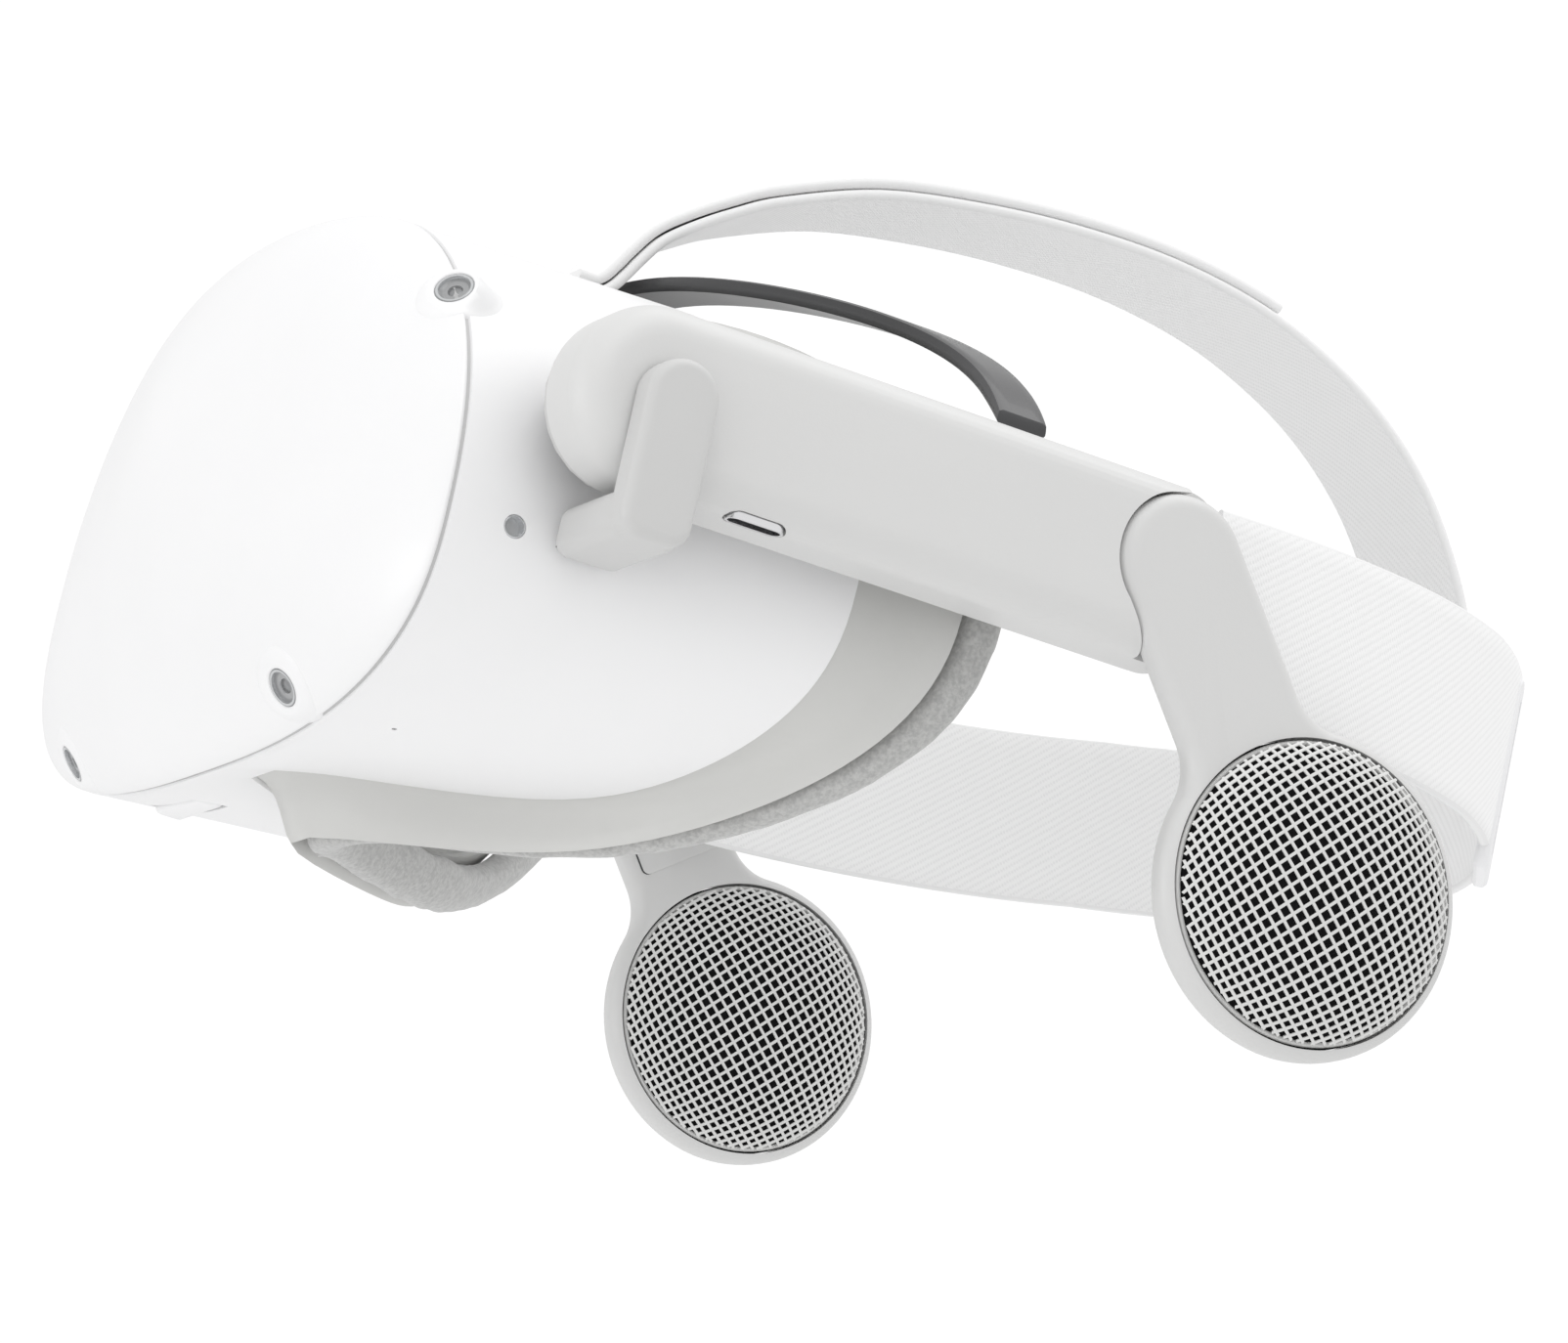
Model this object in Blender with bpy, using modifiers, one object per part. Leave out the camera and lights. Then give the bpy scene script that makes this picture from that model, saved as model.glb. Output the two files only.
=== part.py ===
"""A standalone VR headset worn with a clip-on, off-ear audio set.

Frame: +Z up, the visor faces -Y, the wearer's left is +X, and the model is symmetric about X = 0
apart from the plug, the sockets and the buttons. The origin is at the eye point of the wearer.
Sizes below are in millimetres; MM turns them into Blender's metres.
"""
import math

import bmesh
import bpy
from mathutils import Matrix, Vector

MM = 0.001

# ---------------------------------------------------------------- driving dimensions (mm)
GAP = 0.35                    # between pieces that touch
RUN_GAP = 0.5                 # between pieces that move past each other

VISOR_HALF_WIDTH = 77.6       # at the seam between the faceplate and the rear shell
VISOR_TOP = 45.5
VISOR_BOTTOM = -40.4
VISOR_WIDEST_Z = -10.0        # height at which the seam outline is widest
TOP_POWER, BOTTOM_POWER = 2.1, 2.8        # roundness of the outline above and below that
SEAM_Y = -54.4
DISPLAY_INSET = 19.6          # from the visor's side to the end of the display
DOME_DEPTH = 20.0             # how far the faceplate bulges in front of the seam
DOME_POWER = 1.36             # across; 2 is an ellipse, less is more pointed
DOME_POWER_UP = 1.8           # the same from top to bottom
DOME_CENTRE_Z = 6.5
RIM = 0.6                     # straight rim of the faceplate beside the seam
SHELL_WALL = 1.8
REAR_HALF_WIDTH = 76.4        # of the rear shell at its back edge
REAR_BOTTOM = -37.4
UNDER_EDGE_Y = -11.0          # back edge of the rear shell below the eyes, on the centre line
UNDER_EDGE_CURVE = 0.0035     # how that edge follows the face, 1/mm
BROW_EDGE_Y = -18.0           # the same above the eyes
BROW_EDGE_CURVE = 0.0045
BROW_BLEND = 25.0             # height over which one edge turns into the other
NOSE_DEPTH = 36.0             # nose notch in the underside
NOSE_WIDTH = 24.0

FOAM_HALF_WIDTH = 79.0
FOAM_TOP = 45.0
FOAM_BOTTOM = -46.5
FOAM_BACK_Y = -4.0            # back face of the foam on the centre line
FOAM_CURVE = 0.0062
FOAM_THICK = 8.5
FOAM_WIDE = 13.0
SHROUD_WALL = 1.6

LENS_SPACING = 63.0
LENS_RADIUS = 18.0
BARREL_RADIUS = 21.0
BARREL_FRONT_Y = -40.0
BARREL_BACK_Y = -16.0
RAIL_RADIUS = 1.4
RAIL_Z = 24.0

TILT_Y = -34.0                # the arms tilt about this axis
TILT_Z = 8.9
ARM_HALF_HEIGHT = 13.3
ARM_INNER_X = 82.6
ARM_OUTER_X = 97.4
ARM_END_Y = 57.0
ARM_WALL = 1.8
LINER_THICK = 2.2
STRAP_ARM_THICK = 3.6
SPIGOT_RADIUS = 8.0

SPEAKER_Y = 80.0
SPEAKER_Z = -31.0
PIVOT_Y = 49.5
PIVOT_Z = 10.0
STEM_WIDTH = 20.4
RING_RADIUS = 24.3
GRILLE_RADIUS = 22.3
FRAME_INNER_X = 92.2
FRAME_OUTER_X = 98.2
GRILLE_RISE_OUT = 6.2
GRILLE_RISE_IN = 4.0
GRILLE_WALL = 0.9
PIN_RADIUS = 3.0

STRAP_HEIGHT = 29.0
STRAP_THICK = 1.6
STRAP_HALF_WIDTH = 87.0       # of the oval that the side straps follow
STRAP_REAR_Y = 147.0
STRAP_CENTRE_Y = 50.0
STRAP_POWER = 2.2
SLIDER_HEIGHT = 31.5
SLIDER_THICK = 2.4
TOP_STRAP_WIDTH = 27.0

BAND_HALF_WIDTH = 97.0        # of the ellipse that the bridge band follows
BAND_CENTRE_Z = 10.0
BAND_RISE = 42.0
BAND_MIDDLE_Y = -5.2
BAND_END_Y = 23.0
BAND_WIDTH = 8.0
BAND_THICK = 2.4

JACK_Y, JACK_Z = -44.3, -10.8
JACK_RADIUS = 2.6
POWER_Y, POWER_Z = -40.0, -18.0
POWER_RADIUS = 4.0
ROCKER_X, ROCKER_Y = -32.0, -44.5
ROCKER_LONG, ROCKER_WIDE = 18.0, 5.0

PORT_X, PORT_Y = 93.4, -15.5      # the charging socket under the left arm
PORT_LONG, PORT_THICK = 9.0, 3.2
PLUG_BAR_Y = -33.5                # the L-shaped plug housing
PLUG_BAR_HALF = 5.5
PLUG_BAR_TOP = 13.2
PLUG_BAR_THICK = 5.0
PLUG_FOOT_TOP = -6.2
PLUG_FOOT_BOTTOM = -13.6
PLUG_LOW_Y, PLUG_HIGH_Y = -37.2, -28.2
PLUG_LOW_Z, PLUG_HIGH_Z = -11.4, -8.2

SLIDER_START, SLIDER_END = 0.62, 0.74     # shares of the way round to the back
SLIDER_LIFT = -2.0
STRAP_FIRST = 0.0462          # share of the way round at which the strap leaves the arm
STRAP_MIDDLE_FRONT, STRAP_MIDDLE_BACK = 8.0, 11.5
TAB_START_Y, TAB_END_Y = -19.0, 101.0
STRAP_SLOT_Y = -26.4, -22.3   # the slot in the top of the rear shell that the top strap goes into

CAMERA_RADIUS = 4.0
CAMERAS = {"upper": (36.5, 0.02), "lower": (-58.0, 0.26)}   # degrees round the dome, share forward

ROUND = 32                    # sides of large round shapes
RING_POINTS = 36              # points round the visor's sections


# ---------------------------------------------------------------- collections and materials
def clear_scene():
    for obj in list(bpy.data.objects):
        bpy.data.objects.remove(obj, do_unlink=True)


def collection(name):
    coll = bpy.data.collections.get(name) or bpy.data.collections.new(name)
    if name not in bpy.context.scene.collection.children:
        bpy.context.scene.collection.children.link(coll)
    return coll


def material(name, colour, roughness=0.45, metallic=0.0):
    mat = bpy.data.materials.get(name)
    if mat is None:
        mat = bpy.data.materials.new(name)
        mat.use_nodes = True
        shader = mat.node_tree.nodes["Principled BSDF"]
        shader.inputs["Base Color"].default_value = (*colour, 1.0)
        shader.inputs["Roughness"].default_value = roughness
        shader.inputs["Metallic"].default_value = metallic
    return mat


def white(name):
    return material(name, (0.86, 0.86, 0.87), 0.35)


def grey(name):
    return material(name, (0.62, 0.62, 0.62), 0.42)


# ---------------------------------------------------------------- making objects
def add_object(name, mesh, mat, where="VR headset", origin=(0.0, 0.0, 0.0)):
    """Link a mesh given in millimetres, with its object's origin at a point in millimetres."""
    mesh.transform(Matrix.Scale(MM, 4) @ Matrix.Translation(-Vector(origin)))
    obj = bpy.data.objects.new(name, mesh)
    obj.location = Vector(origin) * MM
    if mat is not None:
        mesh.materials.append(mat)
    collection(where).objects.link(obj)
    return obj


def from_bmesh(name, bm, mat, origin=(0.0, 0.0, 0.0), smooth=True):
    mesh = bpy.data.meshes.new(name)
    bmesh.ops.recalc_face_normals(bm, faces=bm.faces[:])
    bm.to_mesh(mesh)
    bm.free()
    if smooth:
        mesh.shade_smooth()
        mesh.set_sharp_from_angle(angle=math.radians(35))
    return add_object(name, mesh, mat, origin=origin)


def as_cutter(obj):
    """Move an object to the cutters, where it is not part of the model."""
    for coll in list(obj.users_collection):
        coll.objects.unlink(obj)
    collection("Cutters").objects.link(obj)
    obj.hide_render = True
    obj.display_type = "WIRE"
    return obj


def boolean(target, tool, operation="DIFFERENCE"):
    modifier = target.modifiers.new(operation.title() + " " + tool.name, "BOOLEAN")
    modifier.operation = operation
    modifier.solver = "EXACT"
    modifier.object = as_cutter(tool)
    return target


def cut(target, *tools):
    for tool in tools:
        boolean(target, tool)
    return target


def join(target, *tools):
    for tool in tools:
        boolean(target, tool, "UNION")
    return target


def solidify(obj, thickness, offset=-1.0):
    modifier = obj.modifiers.new("Wall", "SOLIDIFY")
    modifier.thickness = thickness * MM
    modifier.offset = offset
    modifier.use_even_offset = True
    return obj


def bevel(obj, width, segments=2, angle=35):
    modifier = obj.modifiers.new("Rounded edges", "BEVEL")
    modifier.width = width * MM
    modifier.segments = segments
    modifier.limit_method = "ANGLE"
    modifier.angle_limit = math.radians(angle)
    return obj


def block(name, low, high, mat=None, rounding=0.0, origin=(0.0, 0.0, 0.0)):
    """A box between two corners, with rounded edges."""
    low, high = Vector(low), Vector(high)
    bm = bmesh.new()
    bmesh.ops.create_cube(bm, size=1.0)
    for vert in bm.verts:
        vert.co = Vector(low[i] + (vert.co[i] + 0.5) * (high[i] - low[i]) for i in range(3))
    obj = from_bmesh(name, bm, mat, origin, smooth=False)
    return bevel(obj, rounding) if rounding else obj


AXES = {"X": Matrix.Rotation(math.pi / 2, 4, "Y"), "Y": Matrix.Rotation(-math.pi / 2, 4, "X"),
        "Z": Matrix.Identity(4)}


def rod(name, radius, start, end, axis="X", mat=None, sides=32, origin=(0.0, 0.0, 0.0)):
    """A round bar along a row axis; start is its lowest end point, end its highest coordinate."""
    start = Vector(start)
    index = "XYZ".index(axis)
    length = end - start[index]
    centre = start.copy()
    centre[index] += length / 2
    bm = bmesh.new()
    bmesh.ops.create_cone(bm, cap_ends=True, segments=sides, radius1=radius, radius2=radius,
                          depth=length, matrix=Matrix.Translation(centre) @ AXES[axis])
    return from_bmesh(name, bm, mat, origin)


def leaning_rod(name, radius, start, end, mat=None, sides=24):
    """A round bar between any two points."""
    start, end = Vector(start), Vector(end)
    turn = (end - start).to_track_quat("Z", "Y").to_matrix().to_4x4()
    bm = bmesh.new()
    bmesh.ops.create_cone(bm, cap_ends=True, segments=sides, radius1=radius, radius2=radius,
                          depth=(end - start).length,
                          matrix=Matrix.Translation((start + end) / 2) @ turn)
    return from_bmesh(name, bm, mat)


def plate(name, outline, low_x, high_x, mat=None, rounding=0.0, origin=(0.0, 0.0, 0.0)):
    """A flat outline in the YZ plane, made thick between two values of X."""
    curve = bpy.data.curves.new(name, "CURVE")
    curve.dimensions = "2D"
    curve.fill_mode = "BOTH"
    curve.extrude = (high_x - low_x) / 2
    spline = curve.splines.new("POLY")
    spline.points.add(len(outline) - 1)
    for point, (y, z) in zip(spline.points, outline):
        point.co = (y, z, 0.0, 1.0)
    spline.use_cyclic_u = True
    holder = bpy.data.objects.new(name + " outline", curve)
    collection("VR headset").objects.link(holder)
    evaluated = holder.evaluated_get(bpy.context.evaluated_depsgraph_get())
    mesh = bpy.data.meshes.new_from_object(evaluated)
    bpy.data.objects.remove(holder)
    bpy.data.curves.remove(curve)
    stand_up = Matrix(((0, 0, 1, (low_x + high_x) / 2), (1, 0, 0, 0), (0, 1, 0, 0), (0, 0, 0, 1)))
    bm = bmesh.new()
    bm.from_mesh(mesh)
    bpy.data.meshes.remove(mesh)
    bmesh.ops.remove_doubles(bm, verts=bm.verts[:], dist=0.001)
    bmesh.ops.transform(bm, matrix=stand_up, verts=bm.verts[:])
    obj = from_bmesh(name, bm, mat, origin)
    return bevel(obj, rounding) if rounding else obj


def turned(name, profile, centre, axis, mat=None, sides=ROUND, origin=None):
    """A turned solid: profile is (radius, height) down its outer side, about a row axis."""
    mesh = bpy.data.meshes.new(name)
    mesh.from_pydata([(r, 0.0, h) for r, h in profile], [(i, i + 1) for i in range(len(profile) - 1)], [])
    obj = add_object(name, mesh, mat)
    screw = obj.modifiers.new("Turn", "SCREW")
    screw.steps = sides
    screw.render_steps = sides
    screw.use_merge_vertices = True
    screw.merge_threshold = 0.00001
    weld = obj.modifiers.new("Weld", "WELD")
    weld.merge_threshold = 0.00001
    obj.matrix_world = Matrix.Translation(Vector(centre) * MM) @ AXES[axis]
    return obj


def loft(name, rings, mat=None, closed_ends=True, smooth=True, origin=(0.0, 0.0, 0.0)):
    """A skin through rings that all have the same number of points."""
    bm = bmesh.new()
    rows = [[bm.verts.new(point) for point in ring] for ring in rings]
    count = len(rows[0])
    for row, following in zip(rows, rows[1:]):
        for i in range(count):
            j = (i + 1) % count
            bm.faces.new((row[i], row[j], following[j], following[i]))
    if closed_ends:
        bm.faces.new(list(reversed(rows[0])))
        bm.faces.new(rows[-1])
    return from_bmesh(name, bm, mat, origin, smooth)


def ring_solid(name, sections, mat=None):
    """A closed ring: sections follow each other round it, and each is a closed outline."""
    bm = bmesh.new()
    rows = [[bm.verts.new(point) for point in section] for section in sections]
    for row, following in zip(rows, rows[1:] + rows[:1]):
        for i in range(len(row)):
            j = (i + 1) % len(row)
            bm.faces.new((row[i], row[j], following[j], following[i]))
    return from_bmesh(name, bm, mat)


def ribbon(name, path, height_at, thickness, mat, steps, origin=(0.0, 0.0, 0.0)):
    """A strip that stands on a path in plan: path(t) gives X and Y, height_at(t) low and high Z."""
    rings = []
    for i in range(steps + 1):
        t = i / steps
        x, y = path(t)
        ahead, behind = path(min(t + 0.001, 1.0)), path(max(t - 0.001, 0.0))
        along = Vector((ahead[0] - behind[0], ahead[1] - behind[1])).normalized()
        out_x, out_y = along.y * thickness / 2, -along.x * thickness / 2
        low, high = height_at(t)
        rings.append([(x + out_x, y + out_y, low), (x - out_x, y - out_y, low),
                      (x - out_x, y - out_y, high), (x + out_x, y + out_y, high)])
    return loft(name, rings, mat, origin=origin)


# ---------------------------------------------------------------- outlines
def signed_power(value, power):
    return math.copysign(abs(value) ** power, value)


def section(angle, half_width, widest_z, top, bottom, top_power=TOP_POWER, bottom_power=BOTTOM_POWER):
    """A point of the visor's rounded outline in the XZ plane."""
    c, s = math.cos(angle), math.sin(angle)
    power = top_power if s > 0 else bottom_power
    reach = top - widest_z if s > 0 else widest_z - bottom
    return half_width * signed_power(c, 2 / power), widest_z + reach * signed_power(s, 2 / power)


def mix(a, b, t):
    return a + (b - a) * t


def angles(count=RING_POINTS):
    return [2 * math.pi * (i + 0.5) / count for i in range(count)]


def shell_edge_y(x, z):
    """The back edge of the rear shell: it follows the face, with a notch for the nose below."""
    under = UNDER_EDGE_Y + UNDER_EDGE_CURVE * x * x
    brow = BROW_EDGE_Y + BROW_EDGE_CURVE * x * x
    if z < 0:
        return under - NOSE_DEPTH * math.exp(-(x / NOSE_WIDTH) ** 2)
    return mix(under, brow, min(z / BROW_BLEND, 1.0))


def shell_point(angle, along, inset=0.0, back=0.0):
    """A point of the rear shell: along is 0 at the seam and 1 at its back edge."""
    x, z = section(angle, mix(VISOR_HALF_WIDTH, REAR_HALF_WIDTH, along) - inset,
                   mix(VISOR_WIDEST_Z, 0.0, along), VISOR_TOP - inset,
                   mix(VISOR_BOTTOM, REAR_BOTTOM, along) + inset)
    return x, mix(SEAM_Y, shell_edge_y(x, z) + back, along), z


def shell_half_width(y, z=0.0):
    """Half the visor's width at a place behind the seam."""
    along = (y - SEAM_Y) / (shell_edge_y(REAR_HALF_WIDTH, z) - SEAM_Y)
    half = mix(VISOR_HALF_WIDTH, REAR_HALF_WIDTH, along)
    widest = mix(VISOR_WIDEST_Z, 0.0, along)
    reach = VISOR_TOP - widest if z > widest else widest - mix(VISOR_BOTTOM, REAR_BOTTOM, along)
    power = TOP_POWER if z > widest else BOTTOM_POWER
    return half * (1 - (abs(z - widest) / reach) ** power) ** (1 / power)


def dome_point(angle, forward, inset=0.0):
    """A point of the faceplate: forward is 0 at the seam and 1 at its nose."""
    scale_x = (1 - forward ** DOME_POWER) ** (1 / DOME_POWER)
    scale_z = (1 - forward ** DOME_POWER_UP) ** (1 / DOME_POWER_UP)
    x, z = section(angle, VISOR_HALF_WIDTH - inset, VISOR_WIDEST_Z, VISOR_TOP - inset,
                   VISOR_BOTTOM + inset)
    return x * scale_x, SEAM_Y - GAP - RIM - (DOME_DEPTH - inset) * forward, z * scale_z + DOME_CENTRE_Z * (1 - scale_z)


def arc(centre, radius, start, end, count):
    """Points of an arc in the YZ plane, from one angle to another in degrees."""
    return [(centre[0] + radius * math.cos(math.radians(mix(start, end, i / count))),
             centre[1] + radius * math.sin(math.radians(mix(start, end, i / count))))
            for i in range(count + 1)]


def arm_outline(inset=0.0, end_y=ARM_END_Y):
    """A straight arm with a full round at the front and rounded corners at the back."""
    half = ARM_HALF_HEIGHT - inset
    corner = max(6.0 - inset, 1.0)
    rear = end_y - inset
    points = arc((TILT_Y, TILT_Z), half, 90, 270, 12)
    points += arc((rear - corner, TILT_Z - half + corner), corner, -90, 0, 3)
    points += arc((rear - corner, TILT_Z + half - corner), corner, 0, 90, 3)
    return points


def stem_outline(grow=0.0):
    """The speaker's stem and ring, seen from the side."""
    along = Vector((SPEAKER_Y - PIVOT_Y, SPEAKER_Z - PIVOT_Z))
    length = along.length
    along /= length
    across = Vector((-along.y, along.x))
    half = STEM_WIDTH / 2 + grow
    ring = RING_RADIUS + grow
    meet = math.degrees(math.asin(min(half * 1.25 / ring, 0.95)))
    heading = math.degrees(math.atan2(along.y, along.x))
    pivot, centre = (PIVOT_Y, PIVOT_Z), (SPEAKER_Y, SPEAKER_Z)
    points = arc(pivot, half, heading + 90, heading + 270, 10)
    neck = length - ring * math.cos(math.radians(meet)) - 7.0
    waist = Vector(pivot) + along * neck - across * half
    points.append((waist.x, waist.y))
    points += arc(centre, ring, heading + 180 + meet, heading + 540 - meet, 28)
    waist = Vector(pivot) + along * neck + across * half
    points.append((waist.x, waist.y))
    return points


def strap_path(t):
    """The side strap in plan: t is 0 where it leaves the arm and 1 at the middle of the back."""
    angle = t * math.pi / 2
    x = STRAP_HALF_WIDTH * signed_power(math.cos(angle), 2 / STRAP_POWER)
    return x, STRAP_CENTRE_Y + (STRAP_REAR_Y - STRAP_CENTRE_Y) * signed_power(math.sin(angle),
                                                                              2 / STRAP_POWER)


def strap_heights(t, height=STRAP_HEIGHT):
    middle = mix(STRAP_MIDDLE_FRONT, STRAP_MIDDLE_BACK, min(t * 2, 1.0))
    return middle - height / 2, middle + height / 2


# ---------------------------------------------------------------- the visor
def surface_normal(angle, forward):
    """Outward direction of the faceplate at one of its points."""
    here = Vector(dome_point(angle, forward))
    round_it = Vector(dome_point(angle + 0.02, forward)) - here
    onward = Vector(dome_point(angle, forward + 0.02)) - here
    normal = round_it.cross(onward).normalized()
    return normal if normal.dot(here - Vector((0, SEAM_Y, 0))) > 0 else -normal


def camera_places():
    """Each tracking camera: its lens centre on the faceplate and the direction that it looks in."""
    places = {}
    for height, (degrees, forward) in CAMERAS.items():
        for side, turn in (("left", degrees), ("right", 180 - degrees)):
            angle = math.radians(turn)
            places[height + "_" + side] = (Vector(dome_point(angle, forward)),
                                           surface_normal(angle, forward))
    return places


def add_faceplate():
    steps = [0.0, 0.0, 0.06, 0.16, 0.32, 0.52, 0.72, 0.88, 0.97]
    rings = [[dome_point(a, f) for a in angles()] for f in steps]
    rings[0] = [(x, y + RIM, z) for x, y, z in rings[0]]
    inner = [[dome_point(a, f, SHELL_WALL) for a in angles()] for f in steps]
    inner[0] = [(x, y + RIM, z) for x, y, z in inner[0]]
    bm = bmesh.new()
    skins = [[[bm.verts.new(point) for point in ring] for ring in skin] for skin in (rings, inner)]
    for rows in skins:
        for row, following in zip(rows, rows[1:]):
            for i in range(RING_POINTS):
                j = (i + 1) % RING_POINTS
                bm.faces.new((row[i], row[j], following[j], following[i]))
        bm.faces.new(rows[-1])
    outer_rim, inner_rim = skins[0][0], skins[1][0]
    for i in range(RING_POINTS):
        j = (i + 1) % RING_POINTS
        bm.faces.new((outer_rim[i], outer_rim[j], inner_rim[j], inner_rim[i]))
    plate_obj = from_bmesh("faceplate", bm, white("Faceplate white"))
    for name, (place, look) in camera_places().items():
        cut(plate_obj, leaning_rod("faceplate " + name, CAMERA_RADIUS + GAP, place - look * 8,
                                   place + look * 8, sides=20))
    return plate_obj


def add_rear_shell():
    steps = [0.0, 0.2, 0.4, 0.6, 0.8, 0.93, 1.0]
    rings = [[shell_point(a, s) for a in angles()] for s in steps]
    shell = loft("rear_shell", rings, white("Rear shell white"), closed_ends=False)
    solidify(shell, SHELL_WALL)
    for name, (place, look) in camera_places().items():
        cut(shell, leaning_rod("shell " + name, CAMERA_RADIUS + GAP, place - look * 8, place + look * 8,
                               sides=20))
    side = VISOR_HALF_WIDTH
    for sign in (1, -1):
        low, high = sorted((sign * (side - 12), sign * (side + 4)))
        cut(shell, rod("spigot hole %d" % sign, SPIGOT_RADIUS + GAP, (low, TILT_Y, TILT_Z), high))
    cut(shell, block("top strap slot", (-TOP_STRAP_WIDTH / 2 - 1.2, STRAP_SLOT_Y[0], VISOR_TOP - 8),
                     (TOP_STRAP_WIDTH / 2 + 1.2, STRAP_SLOT_Y[1], VISOR_TOP + 5)))
    cut(shell, rod("jack hole", JACK_RADIUS, (side - 12, JACK_Y, JACK_Z), side + 4, sides=20))
    cut(shell, block("plug hole", (side - 12, PLUG_LOW_Y - GAP, PLUG_LOW_Z - GAP),
                     (side + 4, PLUG_HIGH_Y + GAP, PLUG_HIGH_Z + GAP)))
    cut(shell, rod("button hole", POWER_RADIUS + RUN_GAP, (-side - 4, POWER_Y, POWER_Z), -side + 12,
                   sides=24))
    cut(shell, block("rocker hole", (ROCKER_X - ROCKER_LONG / 2 - RUN_GAP,
                                     ROCKER_Y - ROCKER_WIDE / 2 - RUN_GAP, -50),
                     (ROCKER_X + ROCKER_LONG / 2 + RUN_GAP, ROCKER_Y + ROCKER_WIDE / 2 + RUN_GAP, -30)))
    return shell


def add_cameras():
    metal = material("Camera barrel", (0.30, 0.31, 0.32), 0.3, 0.2)
    for name, (place, look) in camera_places().items():
        body = leaning_rod("tracking_camera_" + name, CAMERA_RADIUS, place - look * 6.0,
                           place + look * 0.6, metal, 20)
        recess = leaning_rod("camera recess " + name, 2.7, place - look * 1.2, place + look * 2.0, sides=16)
        cut(body, recess)


def add_internals():
    green = material("Circuit board", (0.05, 0.22, 0.12), 0.5)
    dark = material("Dark plastic", (0.05, 0.05, 0.055), 0.5)
    metal = material("Aluminium", (0.7, 0.7, 0.72), 0.35, 1.0)
    inner_half = VISOR_HALF_WIDTH - DISPLAY_INSET
    frame = block("inner_frame", (-inner_half, -43.6, -22), (inner_half, -41.6, 24), dark, 1.0)
    for sign in (1, -1):
        cut(frame, rod("frame window %d" % sign, LENS_RADIUS - 1.5, (sign * LENS_SPACING / 2, -46, 0),
                       -38, "Y"))
    block("display_panel", (-inner_half, -47.4, -22), (inner_half, -45.0, 22),
          material("Display glass", (0.02, 0.02, 0.03), 0.1), 0.4)
    block("mainboard", (8.0 - inner_half, -52.6, -18), (inner_half - 8.0, -51.0, 24), green)
    sink = block("heat_sink", (-15, -62.0, -10), (15, -54.0, 22), metal)
    for i in range(5):
        x = -11 + 5.5 * i
        cut(sink, block("fin gap %d" % i, (x - 1.5, -64, -20), (x + 1.5, -56.5, 30)))
    fan = rod("cooling_fan", 13.0, (-31, -59.0, 7), -54.0, "Y", dark, 28)
    cut(fan, rod("fan inlet", 5.0, (-31, -62.0, 7), -57.0, "Y", None, 20))
    block("battery", (18, -58.5, -8), (46, -54.0, 20),
          material("Battery foil", (0.5, 0.5, 0.52), 0.4, 0.4), 1.0)
    block("proximity_sensor", (-4, -24, 30), (4, -20, 35), dark, 0.6)
    rod("lens_rail", RAIL_RADIUS, (2.0 - inner_half, (BARREL_FRONT_Y + BARREL_BACK_Y) / 2, RAIL_Z),
        inner_half - 2.0, "X", metal, 16)
    jack = rod("audio_jack", JACK_RADIUS - GAP, (VISOR_HALF_WIDTH - 9, JACK_Y, JACK_Z),
               shell_half_width(JACK_Y, JACK_Z) - 0.4,
               "X", material("Jack", (0.45, 0.45, 0.46), 0.3, 0.6), 20)
    cut(jack, rod("jack bore", 1.5, (VISOR_HALF_WIDTH - 7, JACK_Y, JACK_Z), VISOR_HALF_WIDTH + 5, "X",
                  None, 16))


def add_lenses():
    dark = material("Lens barrel", (0.06, 0.06, 0.065), 0.55)
    glass = material("Lens", (0.75, 0.78, 0.80), 0.05)
    middle_y = (BARREL_FRONT_Y + BARREL_BACK_Y) / 2
    for side, sign in (("left", 1), ("right", -1)):
        centre = Vector((sign * LENS_SPACING / 2, BARREL_BACK_Y, 0))
        barrel = rod("lens_barrel_" + side, BARREL_RADIUS, (centre.x, BARREL_FRONT_Y, 0), BARREL_BACK_Y,
                     "Y", dark, ROUND)
        lug = block("lug " + side, (centre.x - 6, middle_y - 3.5, 16),
                    (centre.x + 6, middle_y + 3.5, RAIL_Z + 3.4))
        join(barrel, lug)
        cut(barrel, rod("barrel bore " + side, LENS_RADIUS + GAP, (centre.x, BARREL_FRONT_Y - 1, 0),
                        BARREL_BACK_Y + 1, "Y", None, ROUND))
        cut(barrel, rod("rail bore " + side, RAIL_RADIUS + RUN_GAP, (centre.x - 9, middle_y, RAIL_Z),
                        centre.x + 9, "X", None, 20))
        r = LENS_RADIUS
        profile = [(0.0, 2.6), (r * 0.45, 2.2), (r * 0.8, 1.1), (r - 0.2, 0.0), (r - 0.2, -2.4),
                   (r * 0.8, -3.2), (r * 0.45, -4.0), (0.0, -4.4)]
        turned("lens_" + side, profile, (centre.x, BARREL_BACK_Y - 4.0, 0), "Y", glass)


def add_buttons():
    trim = white("Button white")
    x = shell_half_width(POWER_Y, POWER_Z)
    rod("power_button", POWER_RADIUS, (-x - 0.8, POWER_Y, POWER_Z), -x + 3.0, "X", trim, 24,
        origin=(-x, POWER_Y, POWER_Z))
    floor = visor_floor(ROCKER_Y)
    block("volume_rocker", (ROCKER_X - ROCKER_LONG / 2, ROCKER_Y - ROCKER_WIDE / 2, floor - 0.9),
          (ROCKER_X + ROCKER_LONG / 2, ROCKER_Y + ROCKER_WIDE / 2, floor + 2.4), trim, 0.6,
          origin=(ROCKER_X, ROCKER_Y, floor))


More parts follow.
